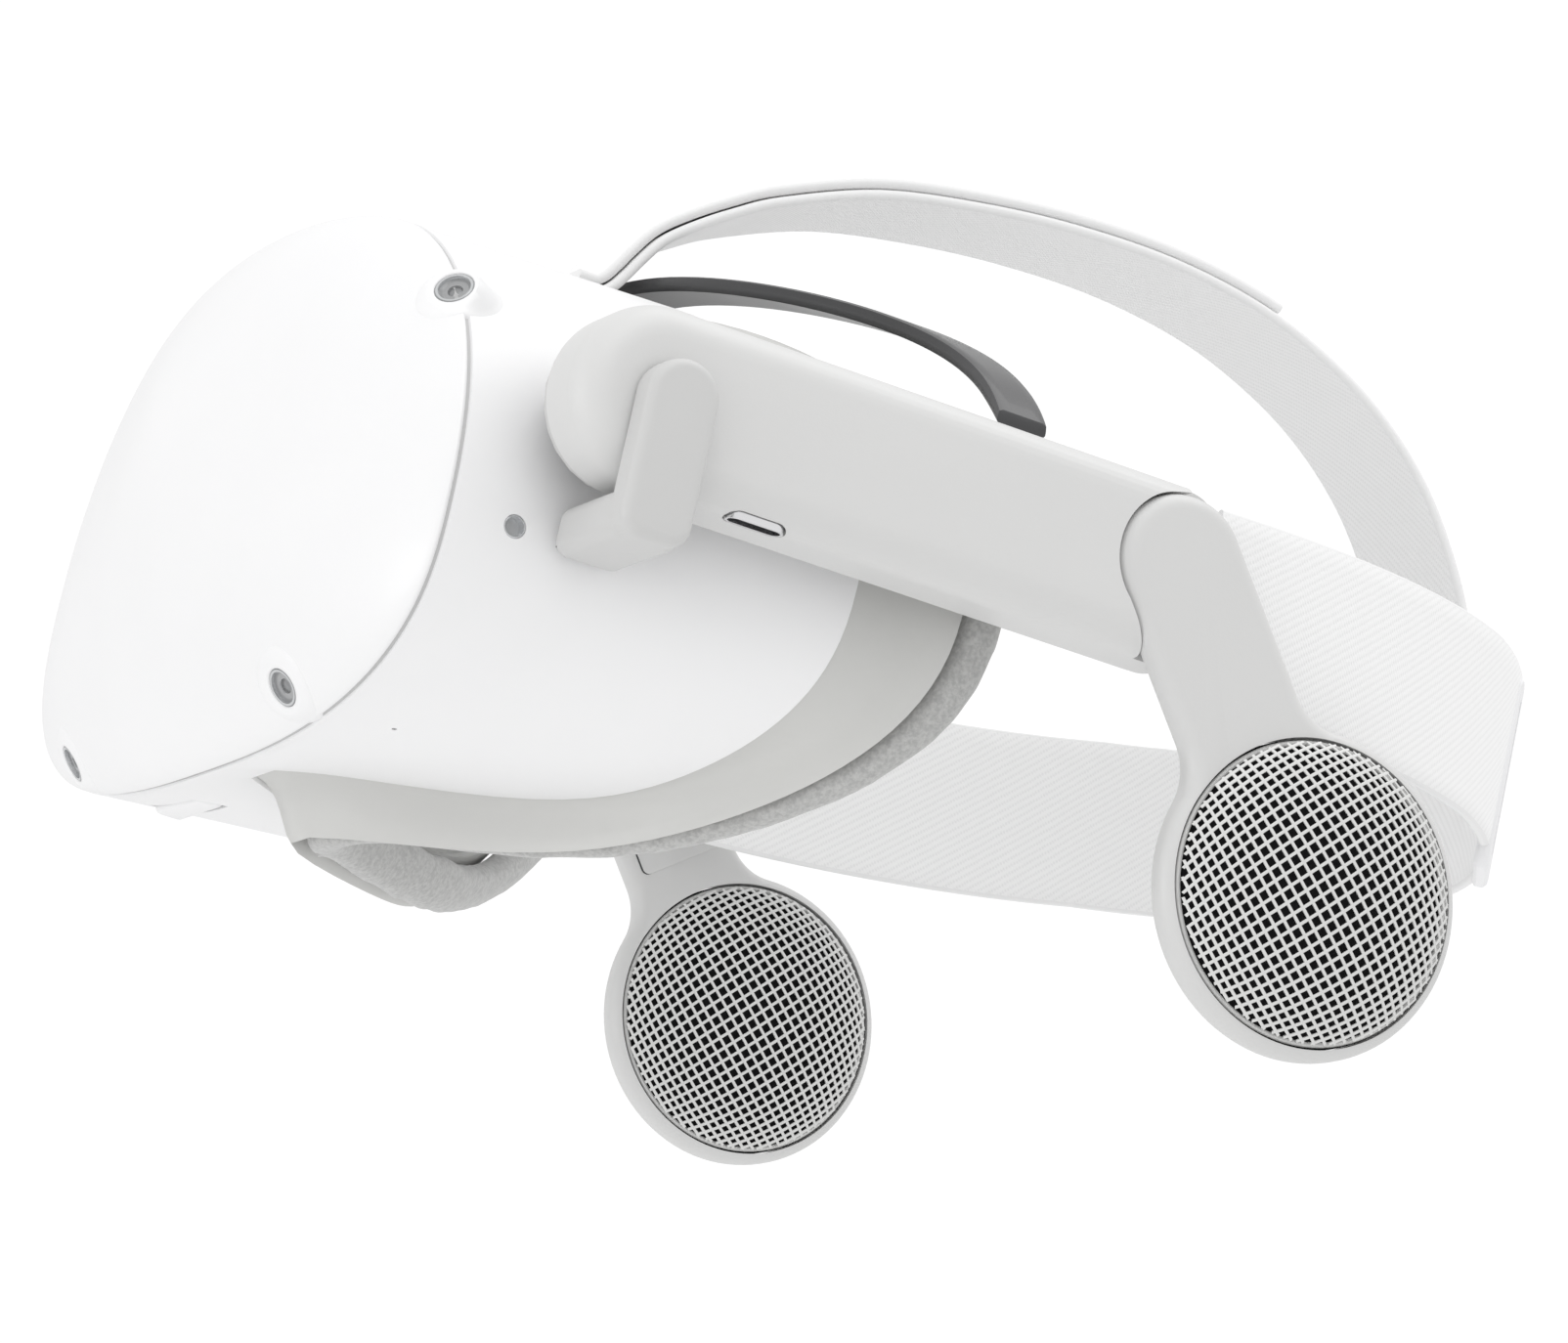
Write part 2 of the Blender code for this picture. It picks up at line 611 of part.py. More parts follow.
def visor_floor(y):
    """Height of the visor's underside a little behind the seam."""
    return mix(VISOR_BOTTOM, REAR_BOTTOM, (y - SEAM_Y) / (UNDER_EDGE_Y - SEAM_Y))


# ---------------------------------------------------------------- the face interface
def foam_point(angle, grow=0.0):
    """A point of the foam's outer outline, and the depth of its back face there."""
    x, z = section(angle, FOAM_HALF_WIDTH + grow, 0.0, FOAM_TOP + grow, FOAM_BOTTOM - grow, 2.3, 2.4)
    y = FOAM_BACK_Y + FOAM_CURVE * x * x
    if z < 0:
        dip = math.exp(-(x / NOSE_WIDTH) ** 2)
        y -= dip * (NOSE_DEPTH - 11.0)
    return x, y, z


def add_face_interface():
    shroud_sections, foam_sections = [], []
    for angle in angles():
        x, y, z = foam_point(angle)
        sx, sy, sz = shell_point(angle, 1.0, inset=0.3, back=GAP + 0.25)
        inward = Vector((-x, 0, -z)).normalized()
        front = y - FOAM_THICK
        seat = Vector((x, front - GAP, z))
        start = Vector((sx, sy, sz))
        shroud_sections.append([start + inward * SHROUD_WALL,
                                seat + inward * 2.8 - Vector((0, SHROUD_WALL + 0.3, 0)),
                                seat + inward * FOAM_WIDE - Vector((0, SHROUD_WALL, 0)),
                                seat + inward * FOAM_WIDE, seat + inward, start])
        foam_sections.append([Vector((x, front, z)) + inward, Vector((x, front + 2.5, z)),
                              Vector((x, y - 1.5, z)) + inward * 1.2, Vector((x, y, z)) + inward * 4,
                              Vector((x, y, z)) + inward * (FOAM_WIDE - 2),
                              Vector((x, y - 2, z)) + inward * FOAM_WIDE,
                              Vector((x, front, z)) + inward * FOAM_WIDE])
    ring_solid("face_shroud", shroud_sections, material("Shroud grey", (0.52, 0.52, 0.51), 0.5))
    ring_solid("face_foam", foam_sections, material("Foam grey", (0.45, 0.45, 0.45), 0.95))


# ---------------------------------------------------------------- strap arms and audio housings
def side_plate(name, outline, near_x, far_x, sign, mat=None, rounding=0.0, origin=(0.0, 0.0, 0.0)):
    low, high = sorted((sign * near_x, sign * far_x))
    return plate(name, outline, low, high, mat, rounding, origin)


def side_rod(name, radius, near_x, far_x, y, z, sign, mat=None, sides=32, origin=(0.0, 0.0, 0.0)):
    low, high = sorted((sign * near_x, sign * far_x))
    return rod(name, radius, (low, y, z), high, "X", mat, sides, origin)


def side_block(name, near_x, far_x, low_yz, high_yz, sign, mat=None, rounding=0.0):
    low, high = sorted((sign * near_x, sign * far_x))
    return block(name, (low, *low_yz), (high, *high_yz), mat, rounding)


def add_arm(side, sign):
    tilt_axis = (0.0, TILT_Y, TILT_Z)
    plastic = grey("Audio housing grey")
    liner_outer = ARM_INNER_X + LINER_THICK
    strap_arm_in = liner_outer + GAP
    strap_arm_out = strap_arm_in + STRAP_ARM_THICK

    liner = side_plate("arm_liner_" + side, arm_outline(0.6), ARM_INNER_X, liner_outer, sign, plastic,
                       0.5, tilt_axis)
    cut(liner, side_rod("liner bore " + side, SPIGOT_RADIUS + RUN_GAP, ARM_INNER_X - 2, liner_outer + 2,
                        TILT_Y, TILT_Z, sign))

    inner = side_plate("strap_arm_" + side, arm_outline(ARM_WALL + RUN_GAP, ARM_END_Y + 3.8),
                       strap_arm_in, strap_arm_out, sign,
                       white("Strap arm white"), 0.4, tilt_axis)
    cut(inner, side_rod("strap arm bore " + side, SPIGOT_RADIUS + RUN_GAP, strap_arm_in - 2,
                        strap_arm_out + 2, TILT_Y, TILT_Z, sign))

    cover = side_plate("arm_cover_" + side, arm_outline(), liner_outer + GAP, ARM_OUTER_X, sign, plastic,
                       2.4, tilt_axis)
    low_wall, high_wall = TILT_Z - ARM_HALF_HEIGHT + ARM_WALL, TILT_Z + ARM_HALF_HEIGHT - ARM_WALL
    cut(cover, side_block("strap arm slot " + side, liner_outer - 1, strap_arm_out + GAP, (45, low_wall),
                          (ARM_END_Y + 5, high_wall), sign))
    pocket_roof = FRAME_INNER_X - RUN_GAP - ARM_WALL
    cut(cover, side_plate("arm pocket " + side, arm_outline(ARM_WALL, 46.0), liner_outer - 1,
                          ARM_OUTER_X - ARM_WALL, sign))
    cut(cover, side_plate("arm rear pocket " + side, arm_outline(ARM_WALL), liner_outer - 1, pocket_roof,
                          sign))
    sweep = arc((PIVOT_Y, PIVOT_Z), STEM_WIDTH / 2 + RUN_GAP, 90, 270, 12)
    sweep += [(ARM_END_Y + 20, PIVOT_Z - STEM_WIDTH / 2 - RUN_GAP),
              (ARM_END_Y + 20, PIVOT_Z + STEM_WIDTH / 2 + 20),
              (PIVOT_Y, PIVOT_Z + STEM_WIDTH / 2 + 20)]
    cut(cover, side_plate("stem recess " + side, sweep, FRAME_INNER_X - RUN_GAP, ARM_OUTER_X + 5, sign))
    cut(cover, side_plate("stem notch " + side, stem_outline(RUN_GAP), FRAME_INNER_X - RUN_GAP,
                          ARM_OUTER_X + 6, sign))
    cut(cover, side_rod("pin hole " + side, PIN_RADIUS + GAP, liner_outer - 1, FRAME_INNER_X + 2, PIVOT_Y,
                        PIVOT_Z, sign, None, 20))
    cut(inner, side_rod("pin hole arm " + side, PIN_RADIUS + GAP, liner_outer - 1, FRAME_INNER_X + 2,
                        PIVOT_Y, PIVOT_Z, sign, None, 20))

    spigot_in = shell_half_width(TILT_Y, TILT_Z) - 7
    side_rod("pivot_spigot_" + side, SPIGOT_RADIUS, spigot_in, strap_arm_out + 1.6, TILT_Y, TILT_Z, sign,
             material("Spigot", (0.2, 0.2, 0.21), 0.45), 32)
    side_rod("speaker_pin_" + side, PIN_RADIUS, strap_arm_in + 0.2, FRAME_OUTER_X - 3.0, PIVOT_Y, PIVOT_Z,
             sign,
             material("Steel", (0.6, 0.6, 0.62), 0.3, 1.0), 20)
    if side == "left":
        add_port(cover, strap_arm_out, sign)


def add_port(cover, inner_x, sign):
    """The charging socket in the underside of the left arm, and the board that carries it."""
    floor = TILT_Z - ARM_HALF_HEIGHT
    metal = material("Socket metal", (0.75, 0.75, 0.76), 0.2, 1.0)
    low = (PORT_X - PORT_THICK / 2, PORT_Y - PORT_LONG / 2)
    high = (PORT_X + PORT_THICK / 2, PORT_Y + PORT_LONG / 2)
    cut(cover, block("port hole", (low[0] - GAP, low[1] - GAP, floor - 3),
                     (high[0] + GAP, high[1] + GAP, floor + 4)))
    socket = block("charging_socket", (low[0], low[1], floor + 0.3), (high[0], high[1], floor + 7.5),
                   metal, 0.9)
    cut(socket, block("socket mouth", (low[0] + 0.5, low[1] + 0.5, floor - 2),
                      (high[0] - 0.5, high[1] - 0.5, floor + 6.5), None, 0.6))
    block("audio_board", (inner_x + 1.0, -22, TILT_Z - ARM_HALF_HEIGHT + 2.9),
          (inner_x + 2.2, 30, TILT_Z + ARM_HALF_HEIGHT - 4.2),
          material("Circuit board", (0.05, 0.22, 0.12), 0.5))


def add_plug():
    """The L-shaped plug housing: it turns under the arm and plugs into the side of the visor."""
    inner = ARM_OUTER_X + RUN_GAP
    outline = arc((PLUG_BAR_Y, PLUG_BAR_TOP - PLUG_BAR_HALF), PLUG_BAR_HALF, 0, 180, 12)
    outline += [(PLUG_BAR_Y - PLUG_BAR_HALF, PLUG_FOOT_BOTTOM),
                (PLUG_BAR_Y + PLUG_BAR_HALF, PLUG_FOOT_BOTTOM)]
    housing = plate("plug_housing", outline, inner, inner + PLUG_BAR_THICK,
                    material("Plug grey", (0.58, 0.58, 0.58), 0.42))
    wall_x = shell_half_width(PLUG_BAR_Y, PLUG_FOOT_TOP) + GAP + 0.7
    foot = block("plug foot", (wall_x, PLUG_BAR_Y - PLUG_BAR_HALF + 0.2, PLUG_FOOT_BOTTOM + 0.2),
                 (inner + 2.0, PLUG_BAR_Y + PLUG_BAR_HALF - 0.2, PLUG_FOOT_TOP))
    join(housing, foot)
    bevel(housing, 1.2, 2, 60)
    block("usb_plug", (wall_x - 6.5, PLUG_LOW_Y + GAP, PLUG_LOW_Z),
          (wall_x - GAP, PLUG_HIGH_Y - GAP, PLUG_HIGH_Z),
          material("Plug metal", (0.75, 0.75, 0.76), 0.2, 1.0), 0.8)


def band_height(x):
    """Outer face of the bridge band over the top of the head."""
    return BAND_CENTRE_Z + BAND_RISE * math.sqrt(max(1 - (x / BAND_HALF_WIDTH) ** 2, 0.0))


def band_reach():
    """Half the distance between the band's feet, which stand on the two arms."""
    foot = TILT_Z + ARM_HALF_HEIGHT + GAP + BAND_THICK
    return BAND_HALF_WIDTH * math.sqrt(1 - ((foot - BAND_CENTRE_Z) / BAND_RISE) ** 2)


def add_band():
    reach = band_reach()
    steps = 22
    rings = []
    for i in range(steps + 1):
        x = reach * math.sin(mix(-1, 1, i / steps) * math.pi / 2)
        z = band_height(x)
        slope = (band_height(x + 0.2) - band_height(x - 0.2)) / 0.4
        inward = Vector((slope, -1.0)).normalized() * BAND_THICK
        if abs(x) > reach - 3:
            inward = Vector((0.0, -BAND_THICK))
        y = mix(BAND_MIDDLE_Y, BAND_END_Y, math.sin(math.pi / 2 * abs(x) / reach) ** 2)
        low, high = y - BAND_WIDTH / 2, y + BAND_WIDTH / 2
        rings.append([(x, low, z), (x, high, z), (x + inward.x, high, z + inward.y),
                      (x + inward.x, low, z + inward.y)])
    return loft("bridge_band", rings, material("Band dark grey", (0.06, 0.06, 0.065), 0.35),
                origin=(0.0, TILT_Y, TILT_Z))


# ---------------------------------------------------------------- speakers
def add_speaker(side, sign):
    pivot = (0.0, PIVOT_Y, PIVOT_Z)
    frame = side_plate("speaker_frame_" + side, stem_outline(), FRAME_INNER_X, FRAME_OUTER_X, sign,
                       grey("Speaker frame grey"), 2.0, pivot)
    cut(frame, side_rod("grille hole " + side, GRILLE_RADIUS + GAP, FRAME_INNER_X - 5, FRAME_OUTER_X + 5,
                        SPEAKER_Y, SPEAKER_Z,
                        sign, None, ROUND))
    cut(frame, side_rod("stem bore " + side, PIN_RADIUS + RUN_GAP, FRAME_INNER_X - 5, FRAME_OUTER_X - 2.4,
                        PIVOT_Y, PIVOT_Z,
                        sign, None, 20))
    middle = (FRAME_INNER_X + FRAME_OUTER_X) / 2
    side_rod("speaker_driver_" + side, GRILLE_RADIUS, middle - 0.8, middle + 0.8, SPEAKER_Y, SPEAKER_Z,
             sign,
             material("Driver black", (0.02, 0.02, 0.02), 0.8), ROUND, pivot)
    for place, rim, rise, way in (("outer", FRAME_OUTER_X - 1.0, GRILLE_RISE_OUT, 1),
                                  ("inner", FRAME_INNER_X + 1.0, GRILLE_RISE_IN, -1)):
        add_grille("%s_grille_%s" % (place, side), sign * rim, rise, sign * way, pivot)


def add_grille(name, rim_x, rise, way, pivot):
    """A shallow dome that closes the speaker's ring."""
    rows = []
    for i in range(4):
        spread = math.cos(i / 4 * math.pi / 2)
        lift = math.sin(i / 4 * math.pi / 2)
        radius = GRILLE_RADIUS * spread
        rows.append([(rim_x + way * rise * lift, SPEAKER_Y + radius * math.cos(a),
                      SPEAKER_Z + radius * math.sin(a))
                     for a in angles(28)])
    bm = bmesh.new()
    rings = [[bm.verts.new(point) for point in row] for row in rows]
    tip = bm.verts.new((rim_x + way * rise, SPEAKER_Y, SPEAKER_Z))
    for row, following in zip(rings, rings[1:]):
        for i in range(28):
            j = (i + 1) % 28
            bm.faces.new((row[i], row[j], following[j], following[i]))
    for i in range(28):
        bm.faces.new((rings[-1][i], rings[-1][(i + 1) % 28], tip))
    bmesh.ops.recalc_face_normals(bm, faces=bm.faces[:])
    outward = sum((face.normal.x for face in bm.faces))
    if outward * way < 0:
        bmesh.ops.reverse_faces(bm, faces=bm.faces[:])
    mesh = bpy.data.meshes.new(name)
    bm.to_mesh(mesh)
    bm.free()
    mesh.shade_smooth()
    grille = add_object(name, mesh, material("Grille", (0.75, 0.75, 0.74), 0.4, 0.3), origin=pivot)
    return solidify(grille, GRILLE_WALL)


# ---------------------------------------------------------------- straps
def add_side_strap(side, sign):
    tilt_axis = (0.0, TILT_Y, TILT_Z)
    first = STRAP_FIRST

    def path(t):
        x, y = strap_path(mix(first, SLIDER_START - 0.004, t))
        return sign * x, y

    def heights(t):
        return strap_heights(mix(first, SLIDER_START, t))

    ribbon("side_strap_" + side, path, heights, STRAP_THICK,
           material("Webbing white", (0.8, 0.8, 0.8), 0.9), 12, tilt_axis)

    def slider_path(t):
        x, y = strap_path(mix(SLIDER_START, SLIDER_END, t))
        return sign * x, y

    low, high = (z + SLIDER_LIFT for z in strap_heights(1.0, SLIDER_HEIGHT))
    slider = ribbon("strap_slider_" + side, slider_path, lambda t: (low, high), SLIDER_THICK,
                    white("Slider white"), 4, tilt_axis)
    for i, share in enumerate((0.3, 0.7)):
        x, y = slider_path(share)
        slot = block("slot %s %d" % (side, i), (-1.3, -4, low + 3), (1.3, 4, high - 3))
        ahead, behind = slider_path(share + 0.02), slider_path(share - 0.02)
        slot.rotation_euler.z = math.atan2(ahead[1] - behind[1], ahead[0] - behind[0])
        slot.location = Vector((x, y, 0)) * MM
        cut(slider, slot)


def add_rear_strap():
    tilt_axis = (0.0, TILT_Y, TILT_Z)

    def path(t):
        t = mix(-1.0, 1.0, t)
        x, y = strap_path(mix(SLIDER_END + 0.006, 1.0, 1 - abs(t)))
        return math.copysign(x, -t), y

    ribbon("rear_strap", path, lambda t: strap_heights(1.0), STRAP_THICK,
           material("Webbing white", (0.8, 0.8, 0.8), 0.9), 16, tilt_axis)


def top_strap_curve():
    """The top strap's middle line: from the visor's top, over the head and down the back."""
    return [(-24.4, 42.6), (-23.9, 45.2), (-21.6, 46.75), (-18.0, 46.75), (-15.0, 46.9), (-12.9, 48.4),
            (-11.0, 51.1), (-9.3, 53.9),
            (-6.4, 58.0), (-2.0, 61.8), (4.0, 66.0), (11.5, 70.4), (27.0, 76.8), (44.0, 80.4), (61.0, 82.4),
            (79.0, 82.7), (96.0, 80.4), (110.0, 75.6), (121.0, 69.4), (130.5, 61.0), (138.0, 50.5),
            (142.6, 41.0), (145.2, 30.0)]


def smooth_points(points, per_span=2):
    """Points of a smooth curve through the given ones (Catmull-Rom)."""
    out = []
    for i in range(len(points) - 1):
        p0, p1, p2, p3 = (points[max(i - 1, 0)], points[i], points[i + 1],
                          points[min(i + 2, len(points) - 1)])
        for k in range(per_span):
            t = k / per_span
            out.append(tuple(0.5 * (2 * b + (c - a) * t + (2 * a - 5 * b + 4 * c - d) * t * t
                                    + (3 * b - a - 3 * c + d) * t ** 3) for a, b, c,
                                    d in zip(p0, p1, p2, p3)))
    out.append(tuple(points[-1]))
    return out


def strip_over_head(name, points, width, low, high, mat):
    """A strip of the given width along a curve in the YZ plane, between two offsets from it."""
    rings = []
    for i, (y, z) in enumerate(points):
        before, after = points[max(i - 1, 0)], points[min(i + 1, len(points) - 1)]
        along = Vector((after[0] - before[0], after[1] - before[1])).normalized()
        up = Vector((-along.y, along.x))
        rings.append([(x, y + up.x * lift, z + up.y * lift) for x, lift in
                      ((-width / 2, low), (width / 2, low), (width / 2, high), (-width / 2, high))])
    return loft(name, rings, mat, origin=(0.0, TILT_Y, TILT_Z))


def add_top_strap():
    webbing = material("Webbing white", (0.8, 0.8, 0.8), 0.9)
    line = smooth_points(top_strap_curve())
    strip_over_head("top_strap", line, TOP_STRAP_WIDTH, -STRAP_THICK / 2, STRAP_THICK / 2, webbing)
    overlay = [point for point in line if TAB_START_Y < point[0] < TAB_END_Y]
    strip_over_head("top_strap_tab", overlay, TOP_STRAP_WIDTH - 1.5, STRAP_THICK / 2 + GAP,
                    STRAP_THICK * 1.5 + GAP, webbing)


def build():
    clear_scene()
    add_faceplate()
    add_rear_shell()
    add_cameras()
    add_internals()
    add_lenses()
    add_buttons()
    add_face_interface()
    for side, sign in (("left", 1), ("right", -1)):
        add_arm(side, sign)
        add_speaker(side, sign)
        add_side_strap(side, sign)
    add_plug()
    add_band()
    add_rear_strap()
    add_top_strap()


build()
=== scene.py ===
"""Looks of a vr headset with a clip-on, off-ear audio set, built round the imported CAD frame.

Lengths are in millimetres up to the point where a mesh is made, and metres after that.
"""
import math

import bmesh
import bpy
from mathutils import Matrix, Vector
from mathutils.bvhtree import BVHTree


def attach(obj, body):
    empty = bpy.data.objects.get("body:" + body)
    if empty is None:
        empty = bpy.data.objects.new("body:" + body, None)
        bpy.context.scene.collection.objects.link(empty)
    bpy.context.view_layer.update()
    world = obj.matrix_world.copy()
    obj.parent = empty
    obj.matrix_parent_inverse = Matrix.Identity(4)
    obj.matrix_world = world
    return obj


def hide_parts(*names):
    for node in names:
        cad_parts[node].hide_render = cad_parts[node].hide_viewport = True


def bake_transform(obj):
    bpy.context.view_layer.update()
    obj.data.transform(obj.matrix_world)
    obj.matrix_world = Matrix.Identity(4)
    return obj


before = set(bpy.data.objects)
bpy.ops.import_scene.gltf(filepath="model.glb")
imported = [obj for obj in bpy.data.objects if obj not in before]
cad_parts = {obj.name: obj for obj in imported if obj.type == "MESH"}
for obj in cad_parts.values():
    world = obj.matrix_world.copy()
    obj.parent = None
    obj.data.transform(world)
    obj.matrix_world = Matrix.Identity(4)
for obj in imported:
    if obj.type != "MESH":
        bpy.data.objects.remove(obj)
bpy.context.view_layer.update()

MM = 0.001

# ---------------------------------------------------------------- sizes, as in the CAD (mm)
GAP = 0.35
VISOR_HALF_WIDTH, VISOR_TOP, VISOR_BOTTOM, VISOR_WIDEST_Z = 77.6, 45.5, -40.4, -10.0
TOP_POWER, BOTTOM_POWER = 2.1, 2.8
SEAM_Y = -54.4
DOME_DEPTH, DOME_POWER, DOME_POWER_UP, DOME_CENTRE_Z, RIM = 20.0, 1.36, 1.8, 6.5, 0.6
WALL = 1.8
REAR_HALF_WIDTH, REAR_BOTTOM = 76.4, -37.4
UNDER_EDGE_Y, UNDER_EDGE_CURVE = -11.0, 0.0035
BROW_EDGE_Y, BROW_EDGE_CURVE, BROW_BLEND = -18.0, 0.0045, 25.0
NOSE_DEPTH, NOSE_WIDTH = 36.0, 24.0
FOAM_HALF_WIDTH, FOAM_TOP, FOAM_BOTTOM = 79.0, 45.0, -46.5
FOAM_BACK_Y, FOAM_CURVE, FOAM_THICK, FOAM_WIDE = -4.0, 0.0062, 8.5, 13.0
SHROUD_WALL = 1.6
TILT_Y, TILT_Z = -34.0, 8.9
ARM_HALF_HEIGHT, ARM_INNER_X, ARM_OUTER_X, ARM_END_Y, ARM_WALL = 13.3, 82.6, 97.4, 57.0, 1.8
LINER_THICK, STRAP_ARM_THICK = 2.2, 3.6
SPEAKER_Y, SPEAKER_Z, PIVOT_Y, PIVOT_Z = 80.0, -31.0, 49.5, 10.0
STEM_WIDTH, RING_RADIUS, GRILLE_RADIUS = 20.4, 24.3, 22.3
FRAME_INNER_X, FRAME_OUTER_X = 92.2, 98.2
GRILLE_RISE_OUT, GRILLE_RISE_IN = 6.2, 4.0
STRAP_HEIGHT, STRAP_THICK, STRAP_HALF_WIDTH = 29.0, 1.6, 87.0
STRAP_REAR_Y, STRAP_CENTRE_Y, STRAP_POWER = 147.0, 50.0, 2.2
SLIDER_HEIGHT, SLIDER_THICK, SLIDER_LIFT = 31.5, 2.4, -2.0
SLIDER_START, SLIDER_END, STRAP_FIRST = 0.62, 0.74, 0.0462
TOP_STRAP_WIDTH = 27.0
BAND_HALF_WIDTH, BAND_CENTRE_Z, BAND_RISE = 97.0, 10.0, 42.0
BAND_MIDDLE_Y, BAND_END_Y, BAND_WIDTH, BAND_THICK = -5.2, 23.0, 8.0, 2.4
JACK_Y, JACK_Z = -44.3, -10.8
POWER_Y, POWER_Z, POWER_RADIUS = -40.0, -18.0, 4.0
ROCKER_X, ROCKER_Y, ROCKER_LONG, ROCKER_WIDE = -32.0, -44.5, 18.0, 5.0
PORT_X, PORT_Y, PORT_LONG, PORT_THICK = 93.4, -15.5, 9.0, 3.2
PLUG_BAR_Y, PLUG_BAR_HALF, PLUG_BAR_TOP, PLUG_BAR_THICK = -33.5, 5.5, 13.2, 5.0
PLUG_FOOT_TOP, PLUG_FOOT_BOTTOM = -6.2, -13.6
PLUG_HOLE = (-37.2, -28.2, -11.4, -8.2)
STRAP_SLOT_Y = (-26.4, -22.3)
CAMERAS = {"upper": (36.5, 0.02), "lower": (-58.0, 0.26)}
MESH_SPHERE = 24.6                # radius that the flat mesh of the grilles is pressed to
MESH_ROWS = 14                    # wires each side of the middle one
WIRE_HALF = 0.27
ROUND_STEPS = 120                 # points round the visor in the shown meshes
CAMERA_HOLE = 2.9
ARM_EDGE = 5.2                    # rounding of the arm's outer edges
FOAM_SLACK = 0.7                  # how much smaller the foam starts than it ends
FOAM_VOXEL, FOAM_SWELL = 0.0017, 0.0011       # in metres
SWELL_FRAMES = 20
SHARP = 38.0                      # degrees from which an edge is shaded sharp
FLOOR_Z = -0.47                   # in metres


# ---------------------------------------------------------------- materials
def new_material(name):
    mat = bpy.data.materials.new(name)
    mat.use_nodes = True
    tree = mat.node_tree
    return mat, tree.nodes, tree.links, tree.nodes["Principled BSDF"]


def noise(nodes, links, vector, scale, detail=3.0, rough=0.55):
    node = nodes.new("ShaderNodeTexNoise")
    node.inputs["Scale"].default_value = scale
    node.inputs["Detail"].default_value = detail
    node.inputs["Roughness"].default_value = rough
    links.new(vector, node.inputs["Vector"])
    return node.outputs["Fac"]


def ramp(nodes, links, value, low, high, start=0.3, end=0.7):
    node = nodes.new("ShaderNodeValToRGB")
    node.color_ramp.elements[0].position = start
    node.color_ramp.elements[1].position = end
    node.color_ramp.elements[0].color = (*low, 1.0)
    node.color_ramp.elements[1].color = (*high, 1.0)
    links.new(value, node.inputs["Fac"])
    return node.outputs["Color"]


def spread(nodes, links, value, low, high):
    node = nodes.new("ShaderNodeMapRange")
    node.inputs["To Min"].default_value = low
    node.inputs["To Max"].default_value = high
    links.new(value, node.inputs["Value"])
    return node.outputs["Result"]


def weighted(nodes, links, value, weight, other=None):
    """value times weight, plus the other value when there is one."""
    node = nodes.new("ShaderNodeMath")
    node.operation = "MULTIPLY_ADD" if other else "MULTIPLY"
    node.inputs[1].default_value = weight
    links.new(value, node.inputs[0])
    if other:
        links.new(other, node.inputs[2])
    return node.outputs[0]


def bump(nodes, links, shader, height, strength, distance):
    node = nodes.new("ShaderNodeBump")
    node.inputs["Strength"].default_value = strength
    node.inputs["Distance"].default_value = distance
    links.new(height, node.inputs["Height"])
    links.new(node.outputs["Normal"], shader.inputs["Normal"])


def shade(colour, factor):
    return tuple(min(c * factor, 1.0) for c in colour)


def moulded(name, colour, roughness, grain=0.12, grain_scale=2600.0, tint=0.012, metallic=0.0, coat=0.0,
        specular=0.5, wear=0.04):
    """Moulded or painted surface: faint cloudiness, fine spark texture, uneven gloss."""
    mat, nodes, links, shader = new_material(name)
    where = nodes.new("ShaderNodeTexCoord").outputs["Object"]
    cloud = noise(nodes, links, where, 22.0, 4.0)
    links.new(ramp(nodes, links, cloud, shade(colour, 1 - tint), shade(colour, 1 + tint)),
            shader.inputs["Base Color"])
    smear = noise(nodes, links, where, 60.0, 5.0)
    links.new(spread(nodes, links, smear, roughness - wear, roughness + wear), shader.inputs["Roughness"])
    bump(nodes, links, shader, noise(nodes, links, where, grain_scale, 2.0), grain, 0.00006)
    shader.inputs["Metallic"].default_value = metallic
    shader.inputs["Coat Weight"].default_value = coat
    shader.inputs["Specular IOR Level"].default_value = specular
    return mat


def webbing_material(name, light, dark, twill=1.5, depth=0.55):
    """Woven elastic: diagonal twill over fine cross threads. UVs are millimetres across and along."""
    mat, nodes, links, shader = new_material(name)
    uv = nodes.new("ShaderNodeUVMap")
    uv.uv_map = "Weave"
    waves = []
    for turn, period in ((38.0, twill), (-52.0, twill * 0.42), (90.0, 0.55)):
        place = nodes.new("ShaderNodeMapping")
        place.inputs["Rotation"].default_value = (0.0, 0.0, math.radians(turn))
        links.new(uv.outputs["UV"], place.inputs["Vector"])
        wave = nodes.new("ShaderNodeTexWave")
        wave.wave_type = "BANDS"
        wave.bands_direction = "X"
        wave.inputs["Scale"].default_value = math.pi / (10 * period)
        wave.inputs["Distortion"].default_value = 0.7
        wave.inputs["Detail"].default_value = 1.0
        wave.inputs["Detail Scale"].default_value = 1.5
        links.new(place.outputs["Vector"], wave.inputs["Vector"])
        waves.append(wave.outputs["Fac"])
    rib = weighted(nodes, links, waves[0], 0.6, weighted(nodes, links, waves[1], 0.4))
    height = weighted(nodes, links, waves[2], 0.18, rib)
    # The colour follows the weave's height, darker where the weave is low: painted shade in the hollows of
    # the weave.
    links.new(ramp(nodes, links, height, dark, light, 0.12, 0.62), shader.inputs["Base Color"])
    fuzz = noise(nodes, links, uv.outputs["UV"], 3.0, 3.0)
    links.new(spread(nodes, links, fuzz, 0.78, 0.95), shader.inputs["Roughness"])
    bump(nodes, links, shader, height, depth, 0.00012)
    shader.inputs["Sheen Weight"].default_value = 0.25
    shader.inputs["Sheen Roughness"].default_value = 0.5
    shader.inputs["Specular IOR Level"].default_value = 0.25
    return mat


